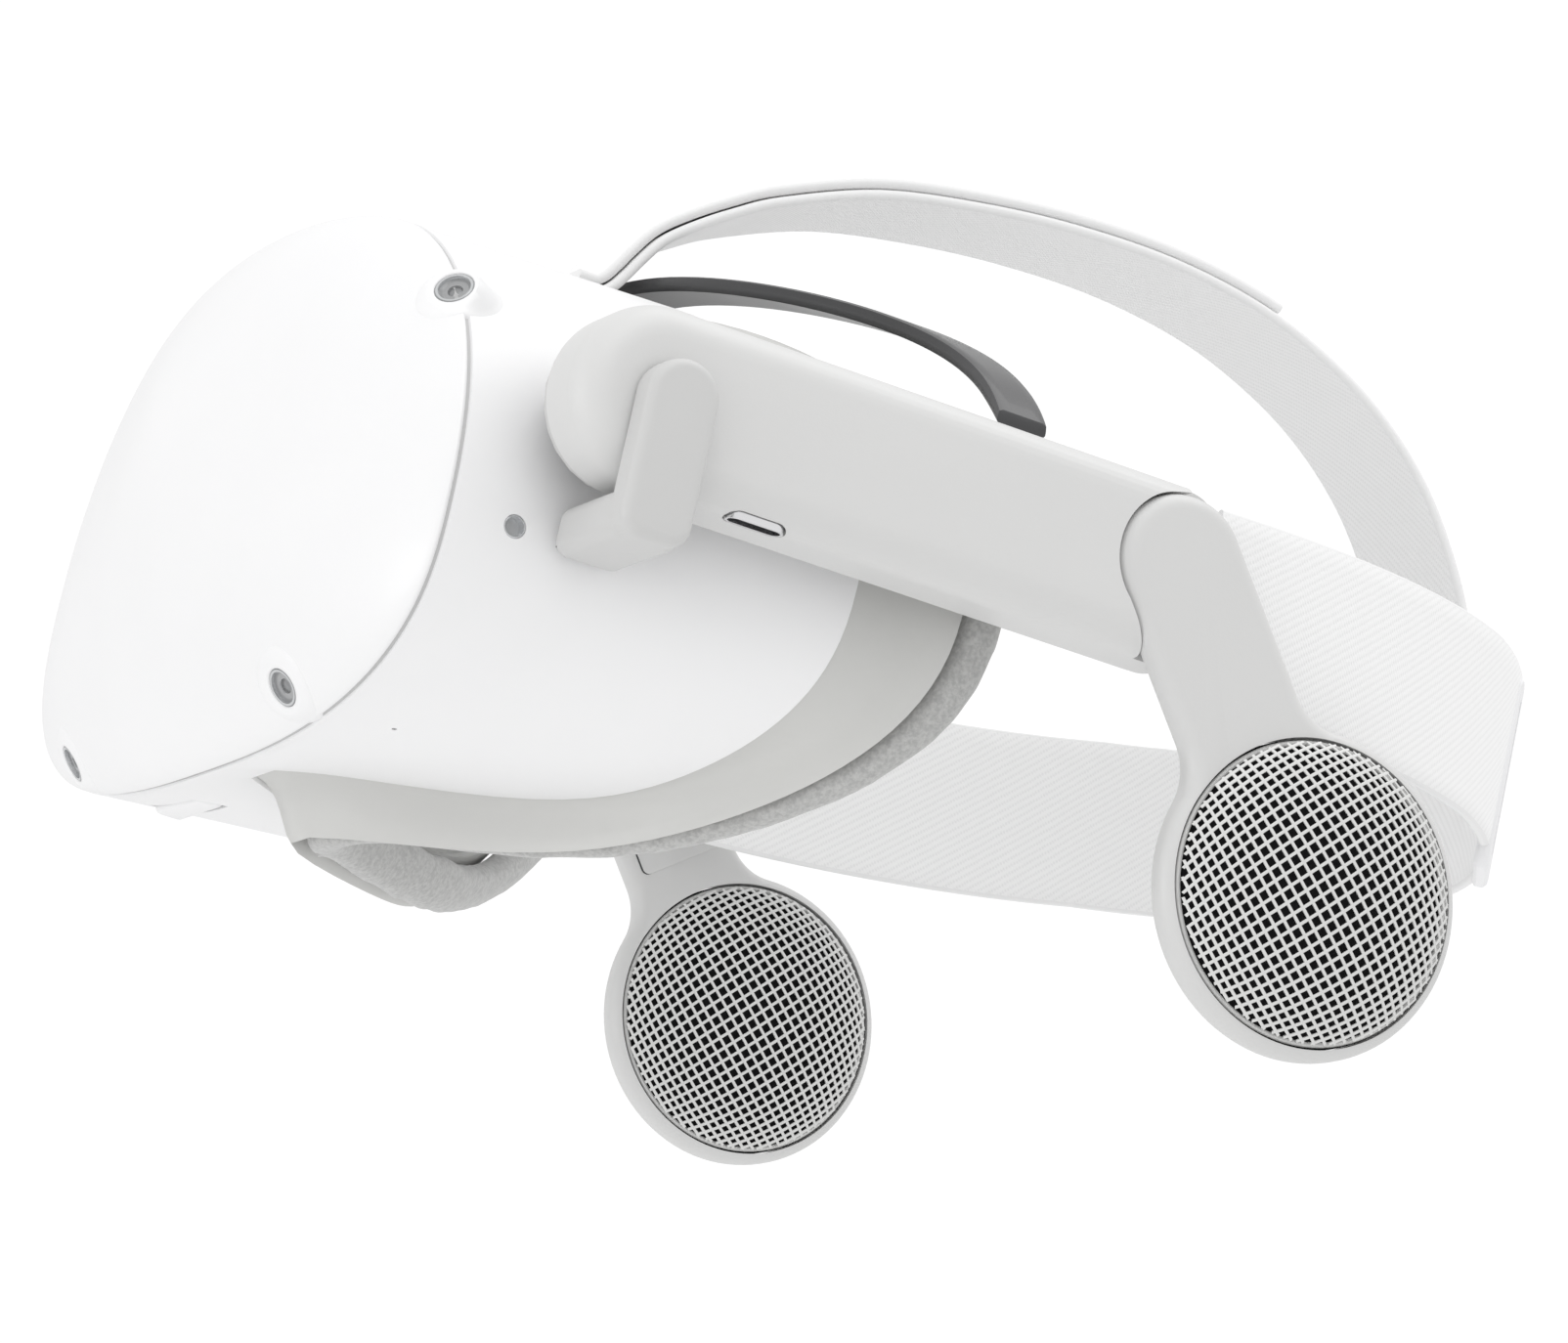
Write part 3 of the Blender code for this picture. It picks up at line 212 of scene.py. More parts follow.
def knit_material(name, light, dark):
    """Knitted cover of the foam: fine loops with a heathered speckle."""
    mat, nodes, links, shader = new_material(name)
    where = nodes.new("ShaderNodeTexCoord").outputs["Object"]
    loops = nodes.new("ShaderNodeTexVoronoi")
    loops.inputs["Scale"].default_value = 1500.0
    links.new(where, loops.inputs["Vector"])
    speckle = noise(nodes, links, where, 1300.0, 3.0, 0.7)
    links.new(ramp(nodes, links, speckle, dark, light, 0.36, 0.62), shader.inputs["Base Color"])
    bump(nodes, links, shader, loops.outputs["Distance"], 0.35, 0.00015)
    soft = noise(nodes, links, where, 90.0, 3.0)
    links.new(spread(nodes, links, soft, 0.86, 0.98), shader.inputs["Roughness"])
    shader.inputs["Sheen Weight"].default_value = 0.35
    shader.inputs["Specular IOR Level"].default_value = 0.15
    return mat


WHITE = (0.865, 0.865, 0.87)
MATERIALS = {
    "white": moulded("satin_white", WHITE, 0.34, coat=0.06),
    "rear_white": moulded("satin_white_rear", (0.87, 0.87, 0.875), 0.37, coat=0.05),
    "trim": moulded("trim_white", (0.86, 0.86, 0.87), 0.33),
    # The seam strip's grey is painted shade at the bottom of the seam.
    "seam": moulded("seam_shade_grey", (0.52, 0.52, 0.52), 0.6),
    "arm": moulded("housing_grey", (0.67, 0.67, 0.665), 0.42, grain=0.18, tint=0.01),
    "liner": moulded("liner_grey", (0.58, 0.58, 0.575), 0.5, grain=0.2),
    "ring": moulded("ring_grey", (0.64, 0.64, 0.635), 0.40, grain=0.16, tint=0.01),
    "plug": moulded("plug_grey", (0.585, 0.585, 0.58), 0.43, grain=0.18),
    "shroud": moulded("shroud_grey", (0.60, 0.60, 0.585), 0.42, grain=0.25, grain_scale=1800.0, tint=0.03),
    "band": moulded("band_dark", (0.04, 0.04, 0.042), 0.3, grain=0.25, tint=0.15, coat=0.1),
    "lattice": moulded("lattice_paint", (0.70, 0.70, 0.69), 0.36, grain=0.05, metallic=0.0, specular=0.6),
    "black": moulded("black_matt", (0.008, 0.008, 0.009), 0.85, grain=0.1, specular=0.2),
    "dark": moulded("dark_plastic", (0.03, 0.03, 0.032), 0.5),
    "barrel": moulded("camera_barrel", (0.26, 0.265, 0.27), 0.3, metallic=0.3, coat=0.3),
    "collar": moulded("camera_collar", (0.60, 0.61, 0.62), 0.22, metallic=0.6),
    "glass": moulded("camera_glass", (0.30, 0.305, 0.31), 0.12, grain=0.0, coat=1.0, specular=0.8,
                     wear=0.02),
    "metal": moulded("plated_metal", (0.80, 0.80, 0.81), 0.16, grain=0.06, metallic=1.0),
    "steel": moulded("drawn_steel", (0.55, 0.55, 0.57), 0.3, grain=0.2, metallic=1.0),
    "aluminium": moulded("machined_aluminium", (0.72, 0.72, 0.74), 0.35, grain=0.3, metallic=1.0),
    "foil": moulded("battery_foil", (0.45, 0.46, 0.48), 0.4, grain=0.6, grain_scale=700.0, metallic=0.7),
    "board": moulded("board_green", (0.02, 0.11, 0.055), 0.45, grain=0.5, grain_scale=500.0, tint=0.2),
    "lens": moulded("eye_lens", (0.30, 0.33, 0.35), 0.06, grain=0.0, coat=1.0, specular=0.8, wear=0.02),
    "panel": moulded("display_dark", (0.01, 0.01, 0.015), 0.12, coat=1.0),
    "webbing": webbing_material("webbing_white", (0.92, 0.92, 0.92), (0.84, 0.84, 0.84), 1.15, 0.3),
    "fold": webbing_material("webbing_fold", (0.94, 0.94, 0.94), (0.86, 0.86, 0.86), 0.9, 0.3),
    "selvedge": moulded("webbing_selvedge", (0.84, 0.84, 0.84), 0.9, specular=0.2),
    "knit": knit_material("foam_knit", (0.52, 0.52, 0.51), (0.40, 0.40, 0.395)),
}


# ---------------------------------------------------------------- mesh tools
def mix(a, b, t):
    return a + (b - a) * t


def make(name, bm, material, angle=SHARP):
    """A mesh object from a bmesh in millimetres; material is a key or a list of keys."""
    mesh = bpy.data.meshes.new(name)
    bmesh.ops.recalc_face_normals(bm, faces=bm.faces[:])
    bmesh.ops.scale(bm, vec=(MM, MM, MM), verts=bm.verts[:])
    bm.to_mesh(mesh)
    bm.free()
    mesh.shade_smooth()
    mesh.set_sharp_from_angle(angle=math.radians(angle))
    obj = bpy.data.objects.new(name, mesh)
    bpy.context.scene.collection.objects.link(obj)
    for key in [material] if isinstance(material, str) else material:
        mesh.materials.append(MATERIALS[key])
    return obj


def bake(obj, angle=SHARP):
    """Replace an object's mesh by what its modifiers make of it."""
    evaluated = obj.evaluated_get(bpy.context.evaluated_depsgraph_get())
    mesh = bpy.data.meshes.new_from_object(evaluated)
    obj.modifiers.clear()
    obj.data = mesh
    mesh.shade_smooth()
    mesh.set_sharp_from_angle(angle=math.radians(angle))
    return obj


def boolean(obj, tools, operation="DIFFERENCE", angle=SHARP):
    for tool in tools:
        modifier = obj.modifiers.new("Cut", "BOOLEAN")
        modifier.operation = operation
        modifier.solver = "EXACT"
        modifier.object = tool
    bpy.context.view_layer.update()
    bake(obj, angle)
    for tool in tools:
        bpy.data.objects.remove(tool)
    return obj


def place(obj, body, nodes=(), slot=None):
    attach(obj, body)
    if nodes:
        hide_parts(*nodes)
    return obj


def bridge(bm, row, following, material_index=0):
    """One band of quads between two closed rows of vertices."""
    count = len(row)
    for i in range(count):
        j = (i + 1) % count
        bm.faces.new((row[i], row[j], following[j], following[i])).material_index = material_index


def loft(bm, rings, close_first=False, close_last=False):
    rows = [[bm.verts.new(point) for point in ring] for ring in rings]
    for row, following in zip(rows, rows[1:]):
        bridge(bm, row, following)
    if close_first:
        bm.faces.new(list(reversed(rows[0])))
    if close_last:
        bm.faces.new(rows[-1])
    return rows


def prism(name, outline, near_x, far_x, material, edge=0.0, segments=6, both=False):
    """A flat YZ outline made thick along X, with its far edge rounded, or both edges."""
    bm = bmesh.new()
    near = [bm.verts.new((near_x, y, z)) for y, z in outline]
    far = [bm.verts.new((far_x, y, z)) for y, z in outline]
    bridge(bm, near, far)
    bm.faces.new(near)
    bm.faces.new(far)
    bmesh.ops.recalc_face_normals(bm, faces=bm.faces[:])
    if edge:
        loops = [e for e in bm.edges if all(abs(v.co.x - far_x) < 1e-3 for v in e.verts)]
        if both:
            loops += [e for e in bm.edges if all(abs(v.co.x - near_x) < 1e-3 for v in e.verts)]
        bmesh.ops.bevel(bm, geom=loops, offset=edge, segments=segments, profile=0.5, affect="EDGES")
    return make(name, bm, material, 30.0)


def cylinder(name, radius, start, end, material="dark", sides=64):
    start, end = Vector(start), Vector(end)
    turn = (end - start).to_track_quat("Z", "Y").to_matrix().to_4x4()
    bm = bmesh.new()
    bmesh.ops.create_cone(bm, cap_ends=True, segments=sides, radius1=radius,
            radius2=radius, depth=(end - start).length,
            matrix=Matrix.Translation((start + end) / 2) @ turn)
    return make(name, bm, material)


def brick(name, low, high, material="dark", edge=0.0, segments=4):
    bm = bmesh.new()
    bmesh.ops.create_cube(bm, size=1.0)
    for vert in bm.verts:
        vert.co = Vector(low[i] + (vert.co[i] + 0.5) * (high[i] - low[i]) for i in range(3))
    if edge:
        bmesh.ops.bevel(bm, geom=bm.edges[:], offset=edge, segments=segments, profile=0.5, affect="EDGES")
    return make(name, bm, material)


def turned(bm, profile, centre, axis, sides):
    """Add a turned surface: profile is (radius, height along the axis)."""
    turn = Vector(axis).to_track_quat("Z", "Y").to_matrix()
    rings = []
    for radius, height in profile:
        rings.append([Vector(centre) + turn @ Vector((radius * math.cos(a), radius * math.sin(a), height))
                for a in (2 * math.pi * i / sides for i in range(sides))])
    loft(bm, rings, True, True)


# ---------------------------------------------------------------- outlines shared with the CAD
def signed_power(value, power):
    return math.copysign(abs(value) ** power, value)


def section(angle, half_width, widest_z, top, bottom, top_power=TOP_POWER, bottom_power=BOTTOM_POWER):
    c, s = math.cos(angle), math.sin(angle)
    power = top_power if s > 0 else bottom_power
    reach = top - widest_z if s > 0 else widest_z - bottom
    return half_width * signed_power(c, 2 / power), widest_z + reach * signed_power(s, 2 / power)


def angles(count=ROUND_STEPS):
    return [2 * math.pi * (i + 0.5) / count for i in range(count)]


def shell_edge_y(x, z):
    under = UNDER_EDGE_Y + UNDER_EDGE_CURVE * x * x
    brow = BROW_EDGE_Y + BROW_EDGE_CURVE * x * x
    if z < 0:
        return under - NOSE_DEPTH * math.exp(-(x / NOSE_WIDTH) ** 2)
    return mix(under, brow, min(z / BROW_BLEND, 1.0))


def shell_point(angle, along, inset=0.0, back=0.0):
    x, z = section(angle, mix(VISOR_HALF_WIDTH, REAR_HALF_WIDTH, along) - inset,
            mix(VISOR_WIDEST_Z, 0.0, along), VISOR_TOP - inset,
            mix(VISOR_BOTTOM, REAR_BOTTOM, along) + inset)
    return x, mix(SEAM_Y, shell_edge_y(x, z) + back, along), z


def shell_half_width(y, z=0.0):
    along = (y - SEAM_Y) / (shell_edge_y(REAR_HALF_WIDTH, z) - SEAM_Y)
    half = mix(VISOR_HALF_WIDTH, REAR_HALF_WIDTH, along)
    widest = mix(VISOR_WIDEST_Z, 0.0, along)
    reach = VISOR_TOP - widest if z > widest else widest - mix(VISOR_BOTTOM, REAR_BOTTOM, along)
    power = TOP_POWER if z > widest else BOTTOM_POWER
    return half * (1 - (abs(z - widest) / reach) ** power) ** (1 / power)


def dome_point(angle, forward, inset=0.0):
    scale_x = max(1 - forward ** DOME_POWER, 0.0) ** (1 / DOME_POWER)
    scale_z = max(1 - forward ** DOME_POWER_UP, 0.0) ** (1 / DOME_POWER_UP)
    x, z = section(angle, VISOR_HALF_WIDTH - inset, VISOR_WIDEST_Z, VISOR_TOP - inset,
            VISOR_BOTTOM + inset)
    y = SEAM_Y - GAP - RIM - (DOME_DEPTH - inset) * forward
    return x * scale_x, y, z * scale_z + DOME_CENTRE_Z * (1 - scale_z)


def arc(centre, radius, start, end, count):
    return [(centre[0] + radius * math.cos(math.radians(mix(start, end, i / count))),
             centre[1] + radius * math.sin(math.radians(mix(start, end, i / count))))
            for i in range(count + 1)]


def arm_outline(inset=0.0, end_y=ARM_END_Y):
    half = ARM_HALF_HEIGHT - inset
    corner = max(6.0 - inset, 1.0)
    rear = end_y - inset
    points = arc((TILT_Y, TILT_Z), half, 90, 270, 44)
    points += arc((rear - corner, TILT_Z - half + corner), corner, -90, 0, 12)
    points += arc((rear - corner, TILT_Z + half - corner), corner, 0, 90, 12)
    return points


def stem_outline(grow=0.0, fillet=9.0):
    """The speaker's stem and ring from the side, with a smooth neck on both sides."""
    along = Vector((SPEAKER_Y - PIVOT_Y, SPEAKER_Z - PIVOT_Z))
    length = along.length
    along /= length
    across = Vector((-along.y, along.x))
    half, ring = STEM_WIDTH / 2 + grow, RING_RADIUS + grow
    heading = math.degrees(math.atan2(along.y, along.x))
    pivot, centre = Vector((PIVOT_Y, PIVOT_Z)), Vector((SPEAKER_Y, SPEAKER_Z))
    back = math.sqrt((ring + fillet) ** 2 - (half + fillet) ** 2)
    turn = math.degrees(math.atan2(half + fillet, back))
    points = arc(pivot, half, heading + 90, heading + 270, 36)
    lower = centre - along * back - across * (half + fillet)
    upper = centre - along * back + across * (half + fillet)
    points += arc(lower, fillet, heading + 90, heading + turn, 12)
    points += arc(centre, ring, heading + 180 + turn, heading + 540 - turn, 84)
    points += arc(upper, fillet, heading - turn, heading - 90, 12)
    return points


def strap_path(t):
    angle = t * math.pi / 2
    x = STRAP_HALF_WIDTH * signed_power(math.cos(angle), 2 / STRAP_POWER)
    return x, STRAP_CENTRE_Y + (STRAP_REAR_Y - STRAP_CENTRE_Y) * signed_power(math.sin(angle),
            2 / STRAP_POWER)


def strap_middle(t):
    return mix(8.0, 11.5, min(t * 2, 1.0))


def surface_normal(angle, forward):
    here = Vector(dome_point(angle, forward))
    round_it = Vector(dome_point(angle + 0.02, forward)) - here
    onward = Vector(dome_point(angle, forward + 0.02)) - here
    normal = round_it.cross(onward).normalized()
    return normal if normal.dot(here - Vector((0, SEAM_Y, 0))) > 0 else -normal


def camera_places():
    places = {}
    for height, (degrees, forward) in CAMERAS.items():
        for side, turn in (("left", degrees), ("right", 180 - degrees)):
            angle = math.radians(turn)
            look = surface_normal(angle, forward)
            if height == "upper":
                look = (look + Vector((math.copysign(0.2, look.x), -0.25, -0.05))).normalized()
            places[height + "_" + side] = (Vector(dome_point(angle, forward)), look)
    return places


# ---------------------------------------------------------------- the visor
def add_faceplate():
    steps = [0.0, 0.004, 0.012, 0.03, 0.06, 0.1, 0.15, 0.2, 0.26, 0.33, 0.41, 0.5, 0.58, 0.66, 0.74, 0.81,
            0.87, 0.92, 0.955, 0.98, 0.993]
    outer = [[dome_point(a, f) for a in angles()] for f in steps]
    rim = [[(x, y + RIM * share, z) for x, y, z in ([dome_point(a, 0.0, tuck) for a in angles()])]
           for share, tuck in ((1.0, 0.45), (0.7, 0.12), (0.3, 0.0))]
    inner = [[dome_point(a, f, WALL) for a in angles()] for f in steps]
    inner[0] = [(x, y + RIM, z) for x, y, z in inner[0]]
    bm = bmesh.new()
    outer_rows = loft(bm, rim + outer)
    inner_rows = loft(bm, inner, close_last=True)
    tip = bm.verts.new(dome_point(0.0, 1.0))
    for i in range(ROUND_STEPS):
        bm.faces.new((outer_rows[-1][i], outer_rows[-1][(i + 1) % ROUND_STEPS], tip))
    bridge(bm, outer_rows[0], inner_rows[0])
    obj = make("visor_faceplate", bm, "white")
    tools = [cylinder("tool", CAMERA_HOLE, spot - look * 7, spot + look * 7) for spot,
            look in camera_places().values()]
    boolean(obj, tools)
    place(obj, "visor", ["faceplate"], "faceplate_white")


def add_rear_shell():
    steps = [0.0, 0.01, 0.05, 0.1, 0.18, 0.28, 0.4, 0.52, 0.64, 0.75, 0.84, 0.91, 0.96, 0.985, 1.0]
    outer = [[shell_point(a, s) for a in angles()] for s in steps]
    front = [[shell_point(a, 0.0, 0.45) for a in angles()]]
    outer[0] = [(x, y + 0.3, z) for x, y, z in outer[0]]
    back = [[shell_point(a, 1.0, 0.5, 0.25) for a in angles()]]
    inner = [[shell_point(a, s, WALL) for a in angles()] for s in steps]
    bm = bmesh.new()
    outer_rows = loft(bm, front + outer + back)
    inner_rows = loft(bm, inner)
    bridge(bm, outer_rows[0], inner_rows[0])
    bridge(bm, outer_rows[-1], inner_rows[-1])
    obj = make("visor_rear_shell", bm, "rear_white")
    side = VISOR_HALF_WIDTH
    low_y, high_y, low_z, high_z = PLUG_HOLE
    tools = [cylinder("tool", CAMERA_HOLE, spot - look * 7, spot + look * 7) for spot,
            look in camera_places().values()]
    tools += [
        cylinder("tool", 8.35, (side - 12, TILT_Y, TILT_Z), (side + 4, TILT_Y, TILT_Z)),
        cylinder("tool", 8.35, (-side + 12, TILT_Y, TILT_Z), (-side - 4, TILT_Y, TILT_Z)),
        cylinder("tool", 1.75, (side - 12, JACK_Y, JACK_Z), (side + 4, JACK_Y, JACK_Z)),
        cylinder("tool", POWER_RADIUS + 0.45, (-side + 12, POWER_Y, POWER_Z),
                 (-side - 4, POWER_Y, POWER_Z)),
        cylinder("tool", 0.4, (44.0, -44.0, -30.0), (52.0, -44.0, -46.0), sides=20),
        brick("tool", (side - 12, low_y - GAP, low_z - GAP), (side + 4, high_y + GAP, high_z + GAP)),
        brick("tool", (ROCKER_X - ROCKER_LONG / 2 - 0.4, ROCKER_Y - ROCKER_WIDE / 2 - 0.4, -52),
              (ROCKER_X + ROCKER_LONG / 2 + 0.4, ROCKER_Y + ROCKER_WIDE / 2 + 0.4, -30)),
        brick("tool", (-TOP_STRAP_WIDTH / 2 - 1.2, STRAP_SLOT_Y[0], VISOR_TOP - 8),
              (TOP_STRAP_WIDTH / 2 + 1.2, STRAP_SLOT_Y[1], VISOR_TOP + 5))]
    boolean(obj, tools)
    place(obj, "visor", ["rear_shell"], "rear_shell_white")


def add_seam():
    """The grey strip that shows at the bottom of the seam; its grey is painted shade in the seam."""
    bm = bmesh.new()
    rings = []
    for y, inset in ((-1.6, 1.4), (-1.2, 0.32), (0.9, 0.32), (1.3, 1.4)):
        ring = []
        for a in angles():
            x, z = section(a, VISOR_HALF_WIDTH - inset, VISOR_WIDEST_Z, VISOR_TOP - inset,
                    VISOR_BOTTOM + inset)
            ring.append((x, SEAM_Y + y, z))
        rings.append(ring)
    rows = loft(bm, rings)
    bridge(bm, rows[0], rows[-1])
    place(make("seam_strip", bm, "seam"), "visor")


def visor_skin():
    """The visor's outer surface without its holes or seam, to lay the camera surrounds on."""
    bm = bmesh.new()
    rings = [[shell_point(a, s) for a in angles()] for s in (1.0, 0.75, 0.5, 0.25, 0.1, 0.0)]
    rings += [[dome_point(a, f) for a in angles()] for f in (0.0, 0.01, 0.03, 0.06, 0.1, 0.15, 0.2, 0.26,
            0.33, 0.41, 0.5)]
    loft(bm, rings)
    tree = BVHTree.FromBMesh(bm)
    bm.free()
    return tree


def add_cameras():
    tree = visor_skin()
    sides = 72
    raised = [(6.5, -0.5), (6.1, -0.02), (5.8, 0.14), (5.3, 0.22), (4.4, 0.24), (3.6, 0.24), (3.1, 0.18),
            (2.98, 0.02)]
    sunk = [(2.8, 0.14), (2.45, 0.1), (2.38, -0.4), (2.0, -0.55), (1.5, -0.62), (1.15, -0.58),
            (1.1, -0.9), (0.8, -0.78), (0.4, -0.68)]
    indices = [0] * 7 + [1, 2, 2, 1, 3, 3, 3, 1, 1, 1]
    for name, (spot, look) in camera_places().items():
        turn = look.to_track_quat("Z", "Y").to_matrix()
        bm = bmesh.new()
        rows = []
        seat = max((tree.ray_cast(spot + turn @ Vector((3.2 * math.cos(a), 3.2 * math.sin(a), 6)), -look,
                              14.0)[0] - spot).dot(look) for a in (math.pi * i / 8 for i in range(16)))
        for radius, height in raised + sunk:
            row = []
            for i in range(sides):
                a = 2 * math.pi * i / sides
                point = spot + turn @ Vector((radius * math.cos(a), radius * math.sin(a), 0))
                flat = point + look * seat
                hit = tree.ray_cast(point + look * 6, -look, 14.0)[0] or flat
                share = min(max((radius - 3.4) / 2.5, 0.0), 1.0)
                share = share * share * (3 - 2 * share)
                row.append(bm.verts.new(flat.lerp(hit, share) + look * height))
            rows.append(row)
        for k, (row, following) in enumerate(zip(rows, rows[1:])):
            bridge(bm, row, following, indices[k])
        bm.faces.new(rows[-1]).material_index = 1
        back = [bm.verts.new(vert.co - look * 1.2) for vert in rows[0]]
        bridge(bm, rows[0], back)
        bm.faces.new(back)
        obj = make("camera_" + name, bm, ["rear_white", "barrel", "collar", "glass"], 50.0)
        place(obj, "visor", ["tracking_camera_" + name], "camera_barrel")


def add_rocker():
    """The volume rocker, standing just proud of the underside."""
    floor = visor_skin().ray_cast(Vector((ROCKER_X, ROCKER_Y, -80.0)), Vector((0, 0, 1)))[0].z
    low = (ROCKER_X - ROCKER_LONG / 2, ROCKER_Y - ROCKER_WIDE / 2, floor - 0.45)
    high = (ROCKER_X + ROCKER_LONG / 2, ROCKER_Y + ROCKER_WIDE / 2, floor + 3.0)
    place(brick("volume_key", low, high, "rear_white", 1.1, 5), "volume_rocker", ["volume_rocker"],
          "trim_white")


def add_audio_socket():
    x = shell_half_width(JACK_Y, JACK_Z)
    bm = bmesh.new()
    turned(bm, [(1.7, -9.0), (1.7, -0.35), (1.45, -0.25), (1.35, -0.6), (1.3, -1.6)], (x, JACK_Y, JACK_Z),
           (1, 0, 0), 48)
    place(make("audio_socket", bm, "collar", 40.0), "visor", ["audio_jack"], "dark_plastic")


# ---------------------------------------------------------------- face interface
def foam_point(angle, grow=0.0):
    x, z = section(angle, FOAM_HALF_WIDTH + grow, 0.0, FOAM_TOP + grow, FOAM_BOTTOM - grow, 2.3, 2.4)
    y = FOAM_BACK_Y + FOAM_CURVE * x * x
    if z < 0:
        y -= math.exp(-(x / NOSE_WIDTH) ** 2) * (NOSE_DEPTH - 11.0)
    return x, y, z


def ring_solid(bm, sections):
    rows = [[bm.verts.new(point) for point in one] for one in sections]
    for row, following in zip(rows, rows[1:] + rows[:1]):
        bridge(bm, row, following)


def add_shroud():
    """The soft grey skirt between the rear shell and the foam, waisted where it leaves the shell."""
    bm = bmesh.new()
    sections = []
    for angle in angles():
        x, y, z = foam_point(angle)
        start = Vector(shell_point(angle, 1.0, inset=0.6, back=0.45))
        inward = Vector((-x, 0, -z)).normalized()
        seat = Vector((x, y - FOAM_THICK - GAP, z)) + inward * 0.9
        outer = []
        for i in range(9):
            t = i / 8
            waist = math.sin(math.pi * min(t / 0.85, 1.0)) * 1.7
            outer.append(start.lerp(seat, t) + inward * waist)
        lip = [seat + Vector((0, 0.15, 0)) + inward * 0.6,
               seat + Vector((0, 0.2, 0)) + inward * (FOAM_WIDE - 1.5)]
        back = [lip[1] - Vector((0, SHROUD_WALL + 0.2, 0)),
                seat - Vector((0, SHROUD_WALL, 0)) + inward * 4.6]
        back += [point + inward * SHROUD_WALL for point in reversed(outer[:6])]
        sections.append(outer + lip + back)
    ring_solid(bm, sections)
    place(make("face_shroud_skin", bm, "shroud", 45.0), "visor", ["face_shroud"], "shroud_grey")


def add_foam():
    """The foam ring: remeshed, swollen as cloth under slight pressure, then smoothed."""
    bm = bmesh.new()
    sections = []
    slack = FOAM_SLACK
    for angle in angles(96):
        x, y, z = foam_point(angle)
        inward = Vector((-x, 0, -z)).normalized()
        edge = Vector((x, y, z))
        front = y - FOAM_THICK + 0.2
        sections.append([Vector((x, front, z)) + inward * (1.0 + slack),
                Vector((x, front + 1.6, z)) + inward * slack * 0.5,
                Vector((x, y - 2.6, z)) + inward * (slack + 0.3),
                edge + inward * (slack + 1.6) - Vector((0, 0.8, 0)),
                edge + inward * 4.2 - Vector((0, slack * 0.6, 0)),
                edge + inward * (FOAM_WIDE - 3) - Vector((0, slack, 0)),
                edge + inward * (FOAM_WIDE - slack) - Vector((0, 2.6, 0)),
                Vector((x, front, z)) + inward * (FOAM_WIDE - slack)])
    ring_solid(bm, sections)
    obj = make("face_foam_pad", bm, "knit", 60.0)
    remesh = obj.modifiers.new("Even", "REMESH")
    remesh.mode = "VOXEL"
    remesh.voxel_size = FOAM_VOXEL
    bake(obj, 180.0)
    rest = [vert.co.copy() for vert in obj.data.vertices]
    cloth = obj.modifiers.new("Swell", "CLOTH")
    settings = cloth.settings
    settings.use_pressure = True
    settings.uniform_pressure_force = 3.0
    settings.effector_weights.gravity = 0.0
    settings.tension_stiffness = 20.0
    settings.compression_stiffness = 20.0
    settings.quality = 5
    cloth.point_cache.frame_start, cloth.point_cache.frame_end = 1, SWELL_FRAMES
    scene = bpy.context.scene
    for step in range(1, SWELL_FRAMES + 1):
        scene.frame_set(step)
    bake(obj, 180.0)
    scene.frame_set(1)
    for vert, start in zip(obj.data.vertices, rest):
        move = vert.co - start
        if move.length > FOAM_SWELL:
            vert.co = start + move.normalized() * FOAM_SWELL
    smooth = obj.modifiers.new("Even out", "SMOOTH")
    smooth.factor = 0.5
    smooth.iterations = 22
    fine = obj.modifiers.new("Fine", "SUBSURF")
    fine.levels = fine.render_levels = 1
    bake(obj, 180.0)
    place(obj, "visor", ["face_foam"], "foam_grey")


